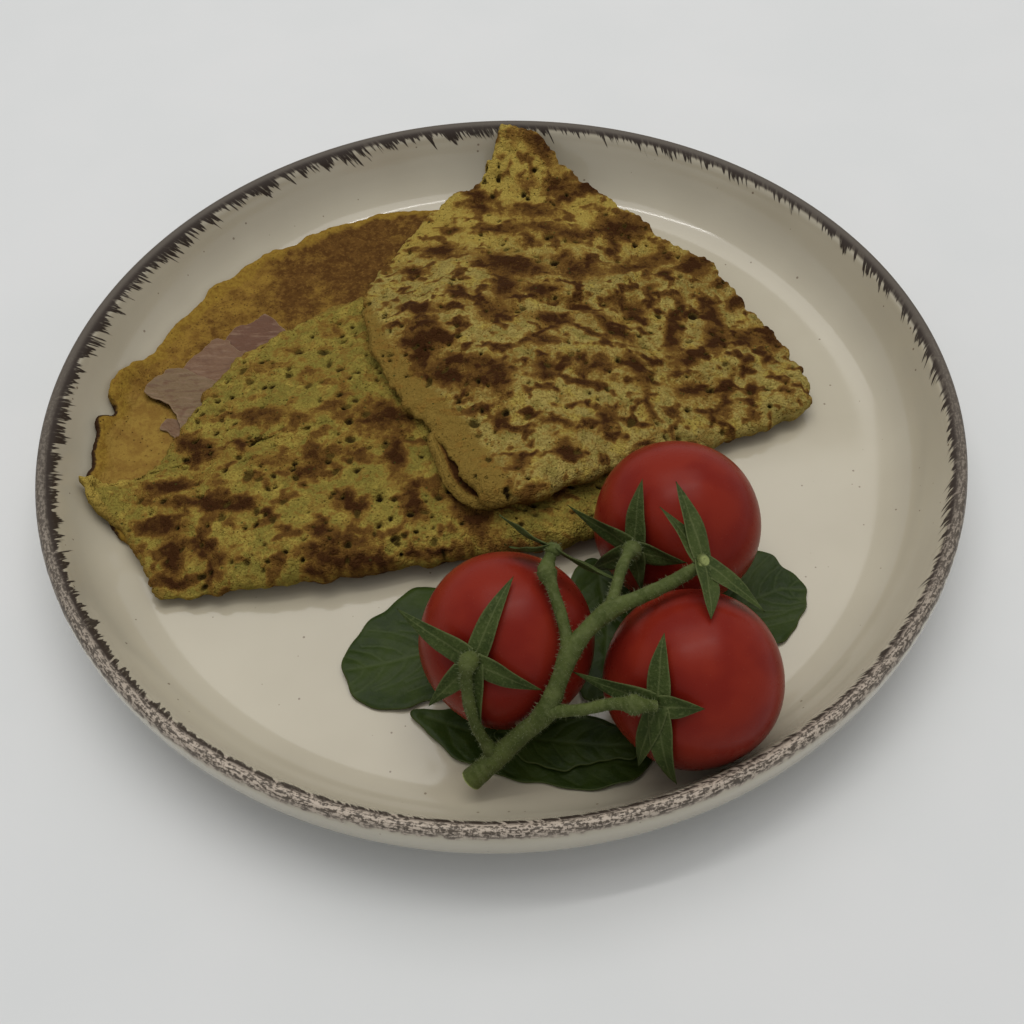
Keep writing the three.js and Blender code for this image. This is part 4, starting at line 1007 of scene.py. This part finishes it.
right_batter = batter_finish("right_batter", (0.34, 0.262, 0.076), (0.42, 0.322, 0.09), 0.5)
right_rough = ragged(right_outline, 3.2, 0.55, 61)
wedge, (x, y, depth) = layer("wedge", right_rough, (26, 42), right_middle, right_top, right_low,
                             right_edge_width, cells=288)
left_side = [(-6, -34.5), (-12.5, -22), (-20, -8), (-29, 5), (-38, 25), (-42.5, 56)]
band = smooth(15, 5, path_distance(x, y, left_side) + smooth(0, 60, y) * 9)
spots = griddle_spots(x, y, 4.6, 75) * (1 - 0.8 * band) * (1 - 0.35 * smooth(45, 90, y))
brown = 1 - (1 - browning(x, y, right_marks, 71)) * (1 - 0.78 * spots)
holes = np.vstack([right_holes, scattered(right_outline, 200, 0.45, 0.95, 81)])
hole, dimple = steam_holes(x, y, holes, 83)
raw = smooth(2.8, 0.4, path_distance(x, y, right_open_line))
bent_x, bent_y = x + hills(x, y, 5, 85), y + hills(x, y, 5, 86)
wrinkled = sum(height * np.exp(-(path_distance(bent_x, bent_y, line) / width)**2)
               for line, height, width in right_wrinkles)
push_out(wedge, 0.65 * hills(x, y, 9, 91) + 0.55 * hills(x, y, 4, 92) + 0.26 * hills(x, y, 1.9, 93) + wrinkled
         + 0.22 * brown - 1.3 * hole - 0.35 * dimple + 0.3 * raw * hills(x * 1.3, y * 1.3, 1.7, 94))
keep_values(wedge.data, "brown", brown)
keep_values(wedge.data, "hole", hole)
keep_values(wedge.data, "band", band)
# Painted light: the crumb colour paints the wedge paler from its middle to its tip up on the wall.
keep_values(wedge.data, "crumb", 0.62 * smooth(40, 90, y))
wedge.data.materials.append(right_batter)
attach(wedge, "root")
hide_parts("crepe_right")

flap_rough = ragged(flap_outline, 3, 0.25, 63)


def flap_height(x, y, d, side):
    ridge = 1.3 * np.exp(-((d - 1.4) / 1.3)**2) * smooth(-4, -9, x + 0.35 * (y + 30))
    middle = right_bottom(x, y) + 1.1 + ridge
    return middle + side * rounded(d, 1.6) * 1.1


flap, (x, y, depth) = flat_food(
    "lowest_layer_flap", flap_rough, (-12, -22),
    lambda x, y, d: flap_height(x, y, d, 1), lambda x, y, d: flap_height(x, y, d, -1), cells=90)
push_out(flap, 0.15 * hills(x, y, 2.4, 95) + 0.08 * hills(x, y, 1.1, 96))
# Painted shade: away from its edge the flap lies in the slit under the wedge, so it is painted dark brown.
keep_values(flap.data, "brown", 0.9 * smooth(2.2, 4.2, depth))
keep_values(flap.data, "hole", np.zeros(len(x)))
keep_values(flap.data, "band", np.full(len(x), 0.9))
keep_values(flap.data, "crumb", np.zeros(len(x)))
flap.data.materials.append(right_batter)
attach(flap, "root")
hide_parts("crepe_right")


# ------------------------------------------------------------------ spinach leaves
# Young spinach leaves laid under the tomatoes: dark green, satin, thin, with a midrib and side
# veins sunk into the upper side, and the blade puffed up a little between them.

leaf_thickness, leaf_cells = 0.55, 90
leaves = {
    "left": dict(
        outline=[(-24, -51), (-33, -58), (-41, -66), (-44, -75), (-41, -84), (-32, -89), (-22, -87),
                 (-6, -84), (-4, -66), (-12, -54)],
        midrib=[(-6, -70), (-22, -72), (-34, -75), (-43, -77)], centre=(-24, -72), lift=0, curl=1.3),
    "bottom": dict(
        outline=[(-24, -89), (-22, -95), (-14, -103), (-2, -108.5), (12, -112), (23, -113.5), (33, -109),
                 (36, -101), (22, -93), (0, -90)],
        midrib=[(-22, -91), (-4, -98), (14, -104), (33, -107)], centre=(6, -101), lift=0, curl=0.9),
    "bottom_upper": dict(
        outline=[(-4, -97), (2, -104), (12, -108), (22, -106), (31, -105.5), (30, -99), (20, -94),
                 (6, -93.5)],
        midrib=[(-3, -97), (10, -100), (30, -102.5)], centre=(14, -100), lift=1.5, curl=1.4),
    "right": dict(
        outline=[(70, -43), (78, -49), (83, -57), (80, -65), (76, -71), (66, -76), (54, -72), (52, -62),
                 (58, -50)],
        midrib=[(54, -66), (66, -60), (76, -56), (82, -57)], centre=(68, -60), lift=0, curl=1.6),
    "middle": dict(
        outline=[(26, -44), (18, -50), (20, -60), (16, -74), (20, -88), (32, -84), (38, -70), (36, -56)],
        midrib=[(26, -46), (27, -66), (25, -86)], centre=(27, -67), lift=0, curl=1.1),
}

leaf_skin, start = new_finish("leaf_skin")
place = start.place()
vein = start.attribute("vein")
rim = start.attribute("rim")
clouds, grain = place.noise(9, 3), place.noise(1.4, 3)
blade = clouds.between(0.35, 0.65).paint((0.018, 0.032, 0.0045), (0.032, 0.050, 0.0075))
blade = grain.between(0.5, 0.75).paint(blade, (0.027, 0.044, 0.007))
blade = (vein.between(0.25, 0.95) * 0.28).paint(blade, (0.062, 0.084, 0.022))
blade = (rim.between(0.4, 1.0) * 0.5).paint(blade, (0.075, 0.09, 0.025))
finish_surface(start, {"Base Color": blade, "Roughness": grain * 0.15 + 0.36, "Specular IOR Level": 0.12,
                       "Normal": (grain * 0.5 + place.noise(0.6, 2) * 0.3).relief(0.2)})


def side_veins(midrib, reach):
    """The veins that branch off a midrib on both sides, bending towards its tip."""
    line = np.array(midrib, float)
    along = np.concatenate([[0], np.cumsum(np.linalg.norm(np.diff(line, axis=0), axis=1))])
    veins = []
    for number, share in enumerate((0.1, 0.24, 0.4, 0.56, 0.72, 0.86)):
        at = share * along[-1]
        root = np.array([np.interp(at, along, line[:, k]) for k in (0, 1)])
        ahead = np.array([np.interp(at + 1, along, line[:, k]) for k in (0, 1)]) - root
        ahead /= np.linalg.norm(ahead)
        for side in (1, -1):
            aside = np.array([-ahead[1], ahead[0]]) * side
            length = reach * (1 - 0.45 * share) * (1 + 0.12 * (-1)**number)
            veins.append([tuple(root + length * s * (aside * (0.95 - 0.35 * s) + ahead * (0.45 + 0.55 * s)))
                          for s in (0, 0.35, 0.7, 1)])
    return veins


for name, leaf in leaves.items():
    outline = outline_through(leaf["outline"], 0.3, 9)
    centre = leaf["centre"]

    def leaf_middle(x, y):
        away = np.hypot(x - centre[0], y - centre[1])
        wave = 0.5 * (1 + np.sin(np.arctan2(y - centre[1], x - centre[0]) * 5 + away / 6))
        bed = plate_top(x, y) + gap + leaf_thickness / 2 + leaf["lift"]
        return bed + leaf["curl"] * wave * smooth(9, 22, away)

    blade_piece, (x, y, depth) = flat_food(
        "spinach_" + name, outline, centre,
        lambda x, y, d: leaf_middle(x, y) + leaf_thickness / 2 * rounded(d, 0.5),
        lambda x, y, d: leaf_middle(x, y) - leaf_thickness / 2 * rounded(d, 0.5), leaf_cells)
    to_midrib = path_distance(x, y, leaf["midrib"])
    to_side = np.min([path_distance(x, y, line) for line in side_veins(leaf["midrib"], 17)], axis=0)
    vein = np.maximum(np.exp(-(to_midrib / 0.7)**2), 0.75 * np.exp(-(to_side / 0.5)**2))
    above = np.arange(len(x)) < (leaf_cells + 1)**2
    puff = smooth(0.4, 4, np.minimum(to_midrib, to_side)) * 0.35
    relief = np.where(above, puff - 0.22 * vein + 0.06 * hills(x, y, 2.2, 101), 0)
    push_out(blade_piece, relief * smooth(0, 1.5, depth))
    keep_values(blade_piece.data, "vein", vein)
    keep_values(blade_piece.data, "rim", smooth(0.7, 0.1, depth))
    blade_piece.data.materials.append(leaf_skin)
    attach(blade_piece, "root")
    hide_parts("leaf_" + name)


# ------------------------------------------------------------------ tomatoes
# Three ripe vine tomatoes with a smooth waxy skin, a shallow hollow round the stem end, and faint
# pale dots. They lean on the leaves with the stem end turned up and towards the diner.

tomatoes = {
    "left": dict(centre=(0, -81.9, 28.7), radius=22, facing=(-0.354, -0.652, 0.67)),
    "right": dict(centre=(44.7, -94.8, 28.7), radius=21.9, facing=(-0.494, -0.631, 0.598)),
    "top": dict(centre=(46, -48.5, 28.9), radius=22.1, facing=(-0.591, -0.675, 0.443)),
}
tomato_flattening, dimple_depth, dimple_width = 0.05, 1.6, 0.3


def tomato_skin(radius, angle):
    """How far the skin is from the tomato's centre, by the angle from its stem end."""
    dimple = dimple_depth * np.exp(-(angle / dimple_width)**2)
    return radius * (1 - tomato_flattening * np.cos(angle)**2) - dimple


ripe_skin, start = new_finish("ripe_skin")
place = start.place()
near_stem = start.attribute("near_stem")
clouds = place.noise(12, 2)
skin = clouds.between(0.35, 0.65).paint((0.168, 0.013, 0.0072), (0.205, 0.019, 0.0092))
skin = (near_stem.between(0.2, 1.0) * 0.7).paint(skin, (0.13, 0.006, 0.003))
dots = (place.cells(1.7) * -1.0 + 0.09).between(0, 0.05) * 0.3
skin = dots.paint(skin, (0.3, 0.09, 0.05))
finish_surface(start, {
    "Base Color": skin, "Roughness": place.noise(2.5, 2) * 0.06 + 0.25, "Specular IOR Level": 0.09,
    "Normal": (clouds * 0.5 + place.noise(1.2, 2) * 0.15).relief(0.08)})

rings, sides = 72, 112
for name, fruit in tomatoes.items():
    angle, turn = np.meshgrid(np.linspace(0, np.pi, rings + 1)[1:-1],
                              np.arange(sides) / sides * 2 * np.pi, indexing="ij")
    lobes = 1 + 0.006 * np.cos(5 * turn + fruit["radius"]) * np.sin(angle)**2 * (1 + np.cos(angle)) \
        + 0.004 * np.sin(2 * turn + fruit["centre"][0])
    reach = tomato_skin(fruit["radius"], angle) * lobes
    across = reach * np.sin(angle)
    grid = np.stack([across * np.cos(turn), across * np.sin(turn), reach * np.cos(angle)], -1)
    poles = [(0, 0, tomato_skin(fruit["radius"], 0.0)), (0, 0, -tomato_skin(fruit["radius"], np.pi))]
    number = 2 + np.arange((rings - 1) * sides).reshape(rings - 1, sides)
    beside = np.roll(number, -1, axis=1)
    faces = np.stack([number[:-1], number[1:], beside[1:], beside[:-1]], -1).reshape(-1, 4).tolist()
    faces += [(0, int(a), int(b)) for a, b in zip(number[0], beside[0])]
    faces += [(1, int(b), int(a)) for a, b in zip(number[-1], beside[-1])]
    upright = np.vstack([poles, grid.reshape(-1, 3)])
    turn_to = np.array(Vector((0, 0, 1)).rotation_difference(Vector(fruit["facing"])).to_matrix())
    mesh = bpy.data.meshes.new("tomato_skin_" + name)
    mesh.from_pydata(((upright @ turn_to.T + fruit["centre"]) * MM).tolist(), [], faces)
    mesh.polygons.foreach_set("use_smooth", np.ones(len(mesh.polygons), bool))
    skin_piece = link_mesh("ripe_tomato_" + name, mesh)
    keep_values(mesh, "near_stem", np.concatenate([[1, 0], np.exp(-(angle / 0.45)**2).ravel()]))
    mesh.materials.append(ripe_skin)
    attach(skin_piece, "root")
    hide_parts("tomato_" + name)


# ------------------------------------------------------------------ vine
# The fruits' green stem: a stalk with short side stems, each swollen at its joint, and a star of
# pointed sepals at every fruit and where two fruits have dropped off. The stems are finely hairy.

stalk_route = [
    (-10, -111.5, 12.5), (-3.4, -108.5, 18.5), (2.6, -106.6, 26), (8.4, -105.1, 34), (12.2, -99.9, 41),
    (14.9, -95.2, 45), (20.1, -89.9, 47.5), (25, -86.4, 48.5), (31.7, -83.9, 49.2), (39, -80.8, 50),
    (46.4, -77, 51)]
side_routes = [
    [(-4.5, -107.6, 19.5), (-7.7, -105.3, 28), (-9.2, -102, 36), (-9.5, -99, 42), (-8.6, -96.8, 45.2),
     (-7.6, -95.8, 42.4)],
    [(8.9, -105.2, 35), (16.4, -107.1, 38.7), (23.5, -107.6, 42), (28.7, -109.1, 44), (33.3, -108.9, 42.6)],
    [(14.7, -94.8, 44.8), (13.2, -88.3, 48.5), (11.2, -81.6, 51.5), (10.2, -77.5, 52.6), (11.4, -73.8, 53.8)],
    [(24.5, -87.1, 48.3), (26.4, -80.3, 48), (28.7, -73.5, 47.5), (31.2, -68.2, 45.5), (33.6, -63, 39)],
]
knuckle_shares = [0.88, 0.8, 0.8, 0.72]
# Sepals: direction in degrees, length, and lift off the skin or lean in degrees.
fruit_sepals = {
    "left": [(168, 17.8, 9), (89, 22.5, 0.8), (354, 17.2, 1), (243, 15.7, 4.5), (282, 26.6, 2.2)],
    "right": [(115, 16.3, 1.5), (188, 16.3, 10), (27, 10.6, 1), (296, 23.5, 2.8), (271, 20, 2.5)],
    "top": [(113, 17.5, 2), (176, 16.5, 9), (14, 13.4, 1), (234, 18.2, 3), (295, 11.8, 1)],
}
bare_stars = [
    dict(hub=(11.9, -72.6, 54), facing=(0.35, 0.799, 0.489), bow=-0.6,
         sepals=[(337, 18.9, 14), (339, 12.4, -11), (202, 18.2, -6)]),
    dict(hub=(47, -75.9, 51), facing=(0.501, -0.351, 0.791), bow=0.8,
         sepals=[(67, 16.8, -21), (47, 21.4, -14), (208, 16.1, 22), (263, 18.6, 25)]),
]
sepal_width, sepal_clearance = 6.1, 0.9

stem_skin, start = new_finish("stem_skin")
place = start.place()
ridge = start.attribute("ridge")
cut = start.attribute("cut")
clouds, grain = place.noise(5, 3), place.noise(0.7, 3)
leafy = start.attribute("leafy")
green = clouds.between(0.35, 0.65).paint((0.052, 0.068, 0.0165), (0.078, 0.096, 0.026))
green = leafy.paint(green, clouds.between(0.35, 0.65).paint((0.03, 0.045, 0.0105), (0.046, 0.064, 0.0155)))
green = (grain.between(0.5, 0.72) * 0.5).paint(green, (0.098, 0.115, 0.04))
# Paler where the ridge attribute says: partly the sepals' own light edges, partly a painted highlight on
# raised midribs, edges and stem patches.
green = (ridge.between(0.35, 0.9) * 0.55).paint(green, (0.115, 0.132, 0.05))
green = cut.paint(green, (0.3, 0.34, 0.12))
finish_surface(start, {"Base Color": green, "Roughness": 0.55, "Specular IOR Level": 0.08,
                       "Normal": (grain + place.noise(0.3, 1) * 0.5).relief(0.25)})

stem_sides = 14
stem_paths, given = new_tree("stem_paths", (
    ("Routes", "Geometry", None), ("Sides", "Int", stem_sides), ("Skin", "Material", None)))
route = stem_paths.nodes.new("GeometryNodeMeshToCurve")
section = stem_paths.nodes.new("GeometryNodeCurvePrimitiveCircle")
section.inputs["Radius"].default_value = 1.0
thickness = stem_paths.nodes.new("GeometryNodeInputNamedAttribute")
thickness.data_type = "FLOAT"
thickness.inputs["Name"].default_value = "stem_radius"
swept = stem_paths.nodes.new("GeometryNodeCurveToMesh")
swept.inputs["Fill Caps"].default_value = True
join(stem_paths, (
    (given, "Routes", route, "Mesh"), (route, "Curve", swept, "Curve"),
    (given, "Sides", section, "Resolution"), (section, "Curve", swept, "Profile Curve"),
    (thickness, "Attribute", swept, "Scale")))
end_tree(stem_paths, given, swept, "Mesh", "Skin")


def stem_line(route, spacing):
    """An even line along a route, with the share of the way at each of its points."""
    line = eased(route, 24)
    along = np.concatenate([[0], np.cumsum(np.linalg.norm(np.diff(line, axis=0), axis=1))])
    count = int(along[-1] / spacing) + 1
    even = np.linspace(0, along[-1], count)
    return np.stack([np.interp(even, along, line[:, k]) for k in range(3)], 1), even


def uneven(places, size, seed):
    return hills(places[:, 0] + places[:, 2], places[:, 1] - places[:, 2], size, seed)


stem_points, stem_radii, stem_edges = [], [], []


def add_stem(line, radii):
    first = len(stem_points)
    stem_points.extend(line)
    stem_radii.extend(radii)
    stem_edges.extend((first + i, first + i + 1) for i in range(len(line) - 1))


line, along = stem_line(stalk_route, 0.4)
radii = blend(2.6, 1.55, along / along[-1]) + 0.14 * uneven(line, 3, 121) + 0.25 * np.exp(-(along / 4)**2)
for route in side_routes:
    beside = np.linalg.norm(line - np.array(route[0]), axis=1)
    radii = radii + 0.45 * np.exp(-(beside / 4.0)**2)
add_stem(line, radii)
for route, knuckle in zip(side_routes, knuckle_shares):
    line, along = stem_line(route, 0.35)
    at = knuckle * along[-1]
    swollen = np.exp(-((along - at) / 2.0)**2)
    ribs = 0.16 * np.sin(along * 2 * np.pi / 1.1) * swollen
    radii = 1.42 + 0.7 * np.exp(-(along / 3)**2) + 1.0 * swollen + ribs + 0.1 * uneven(line, 2.5, 122)
    add_stem(line, radii)

# Every star of sepals sits on a small bulb: its middle, the way it faces and its radius.
hubs = []
for fruit in tomatoes.values():
    out_of_fruit = np.array(fruit["facing"]) * (tomato_skin(fruit["radius"], 0.0) + 1)
    hubs.append((np.array(fruit["centre"]) + out_of_fruit, fruit["facing"], 2.5))
for star in bare_stars:
    hubs.append((np.array(star["hub"]), star["facing"], 2.2))
for middle, facing, width in hubs:
    rise = np.linspace(-1.6, 1.5, 12)
    bulge = np.sqrt(1 - (rise / 1.75)**2)
    add_stem(middle + np.outer(rise, facing), width * bulge * (1 - 0.08 * rise))

stem_mesh = bpy.data.meshes.new("stems")
stem_mesh.from_pydata((np.array(stem_points) * MM).tolist(), stem_edges, [])
keep_values(stem_mesh, "stem_radius", np.array(stem_radii) * MM)
stems = link_mesh("vine_stems", stem_mesh)
stems_made = plain_mesh_of(stems, stem_paths, {"Sides": stem_sides, "Skin": stem_skin})
face_outwards(stems_made)
points = mesh_points(stems_made)
keep_values(stems_made, "leafy", np.zeros(len(points)))
# Pale patches along the stems, partly painted highlight.
keep_values(stems_made, "ridge", np.clip(0.5 + 0.5 * uneven(points, 1.2, 123), 0, 1))
stalk_end, stalk_way = np.array(stalk_route[0]), np.array([0.68, 0.31, 0.66])
stalk_cut = smooth(0.5, 0.1, np.abs((points - stalk_end) @ stalk_way)) \
    * (np.linalg.norm(points - stalk_end, axis=1) < 4.2)
scar, scar_way = hubs[-1][0], np.array(hubs[-1][1])
fruit_scar = smooth(1.0, 1.5, (points - scar) @ scar_way) * (np.linalg.norm(points - scar, axis=1) < 2.6)
keep_values(stems_made, "cut", stalk_cut + fruit_scar * 0.8)
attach(stems, "root")
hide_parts("truss")


def star_axes(facing):
    out = np.array(facing, float) / np.linalg.norm(facing)
    level = np.cross((0, 0, 1), out)
    level /= np.linalg.norm(level)
    return out, level, np.cross(out, level)


sepal_steps, sepal_half_steps = 14, 4
sepal_points, sepal_faces, sepal_pale_edges_and_highlight = [], [], []


def add_sepal(places, outs, across, twist):
    """A pointed leaflet along some places: a raised midrib, two sides folded up from it, thin edges."""
    first = len(sepal_points)
    rows = len(places)
    for side in (1, -1):
        for i, (place, out) in enumerate(zip(places, outs)):
            share = i / (rows - 1)
            half = sepal_width / 2 * math.sin(math.pi * (0.3 + 0.7 * share))**0.9 * (1 - 0.25 * share)
            lean = twist * share
            aside = across * math.cos(lean) + out * math.sin(lean)
            for k in range(-sepal_half_steps, sepal_half_steps + 1):
                s = k / sepal_half_steps
                fold = 0.22 * half * (abs(s)**1.3) + 0.1 * half * math.sin(9 * share + 3 * s)
                thick = side * (0.24 + 0.26 * math.exp(-(s / 0.3)**2))
                thick *= (1 - 0.55 * share) * (1 - 0.75 * abs(s)**3)
                sepal_points.append(place + aside * (s * half) + out * (fold + thick))
                # Paler on the midrib and edges: partly their own light edges, partly painted highlight.
                sepal_pale_edges_and_highlight.append(max(math.exp(-(s / 0.18)**2) * 0.8, abs(s)**6))
    wide = 2 * sepal_half_steps + 1
    low = first + rows * wide
    for i in range(rows - 1):
        for k in range(wide - 1):
            a, b = first + i * wide + k, first + (i + 1) * wide + k
            sepal_faces.append((a, b, b + 1, a + 1))
            c, d = low + i * wide + k, low + (i + 1) * wide + k
            sepal_faces.append((c, c + 1, d + 1, d))
        for k in (0, wide - 1):
            a, b = first + i * wide + k, first + (i + 1) * wide + k
            c, d = low + i * wide + k, low + (i + 1) * wide + k
            sepal_faces.append((a, c, d, b) if k == 0 else (a, b, d, c))
    for i in (0, rows - 1):
        for k in range(wide - 1):
            a, c = first + i * wide + k, low + i * wide + k
            sepal_faces.append((a, a + 1, c + 1, c) if i == 0 else (a, c, c + 1, a + 1))


shares = np.linspace(0, 1, sepal_steps)
for name, sepals in fruit_sepals.items():
    fruit = tomatoes[name]
    out_way, level, up = star_axes(fruit["facing"])
    for number, (degrees, length, lift) in enumerate(sepals):
        along = level * math.cos(math.radians(degrees)) + up * math.sin(math.radians(degrees))
        angles = shares * length / fruit["radius"]
        outs = np.outer(np.cos(angles), out_way) + np.outer(np.sin(angles), along)
        reach = tomato_skin(fruit["radius"], np.maximum(angles, dimple_width)) + sepal_clearance \
            + lift * shares**2
        places = np.array(fruit["centre"]) + outs * reach[:, None]
        add_sepal(places, outs, np.cross(out_way, along), 0.35 * (-1)**number)
for star in bare_stars:
    out_way, level, up = star_axes(star["facing"])
    for number, (degrees, length, lean) in enumerate(star["sepals"]):
        along = level * math.cos(math.radians(degrees)) + up * math.sin(math.radians(degrees))
        tilt = math.radians(lean)
        climb = length * shares * math.sin(tilt) + 4 * star["bow"] * shares * (1 - shares)
        places = np.array(star["hub"]) + np.outer(length * shares * math.cos(tilt), along) \
            + np.outer(climb, out_way)
        add_sepal(places, np.tile(out_way, (sepal_steps, 1)), np.cross(out_way, along), 0.4 * (-1)**number)

sepal_mesh = bpy.data.meshes.new("sepals")
sepal_mesh.from_pydata((np.array(sepal_points) * MM).tolist(), [], sepal_faces)
sepals_piece = link_mesh("sepals", sepal_mesh)
keep_values(sepal_mesh, "leafy", np.ones(len(sepal_pale_edges_and_highlight)))
keep_values(sepal_mesh, "ridge", sepal_pale_edges_and_highlight)
keep_values(sepal_mesh, "cut", np.zeros(len(sepal_pale_edges_and_highlight)))
face_outwards(sepal_mesh)
sepal_mesh.materials.append(stem_skin)
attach(sepals_piece, "root")
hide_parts("truss")

hair_density, hair_length, hair_radius = 1.1 / MM**2, 0.9 * MM, 0.045 * MM
hair_growth, given = new_tree("hair_growth", (
    ("Skin Surface", "Geometry", None), ("Hairs per Area", "Float", hair_density),
    ("Hair Length", "Float", hair_length), ("Hair Radius", "Float", hair_radius),
    ("Hair Skin", "Material", None)))
roots = hair_growth.nodes.new("GeometryNodeDistributePointsOnFaces")
roots.inputs["Seed"].default_value = 131
hair = hair_growth.nodes.new("GeometryNodeMeshCone")
hair.inputs["Vertices"].default_value = 3
size = hair_growth.nodes.new("FunctionNodeRandomValue")
size.data_type = "FLOAT_VECTOR"
size.inputs["Min"].default_value = (0.6, 0.6, 0.45)
size.inputs["Max"].default_value = (1.1, 1.1, 1.2)
size.inputs["Seed"].default_value = 132
grown = hair_growth.nodes.new("GeometryNodeInstanceOnPoints")
join(hair_growth, (
    (given, "Skin Surface", roots, "Mesh"), (given, "Hairs per Area", roots, "Density"),
    (given, "Hair Length", hair, "Depth"), (given, "Hair Radius", hair, "Radius Bottom"),
    (roots, "Points", grown, "Points"), (hair, "Mesh", grown, "Instance"),
    (roots, "Rotation", grown, "Rotation"), (size, "Value", grown, "Scale")))
end_tree(hair_growth, given, grown, "Instances", "Hair Skin")

hair_skin, start = new_finish("hair_skin")
pale_tip = start.place().noise(2, 1).between(0.35, 0.65)
finish_surface(start, {"Base Color": pale_tip.paint((0.16, 0.18, 0.085), (0.24, 0.26, 0.15)),
                       "Roughness": 0.55, "Specular IOR Level": 0.2})
hairs = link_mesh("vine_hairs", stems.data.copy())
plain_mesh_of(hairs, hair_growth, {"Hairs per Area": hair_density, "Hair Length": hair_length,
                                   "Hair Radius": hair_radius, "Hair Skin": hair_skin})
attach(hairs, "root")
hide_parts("truss")
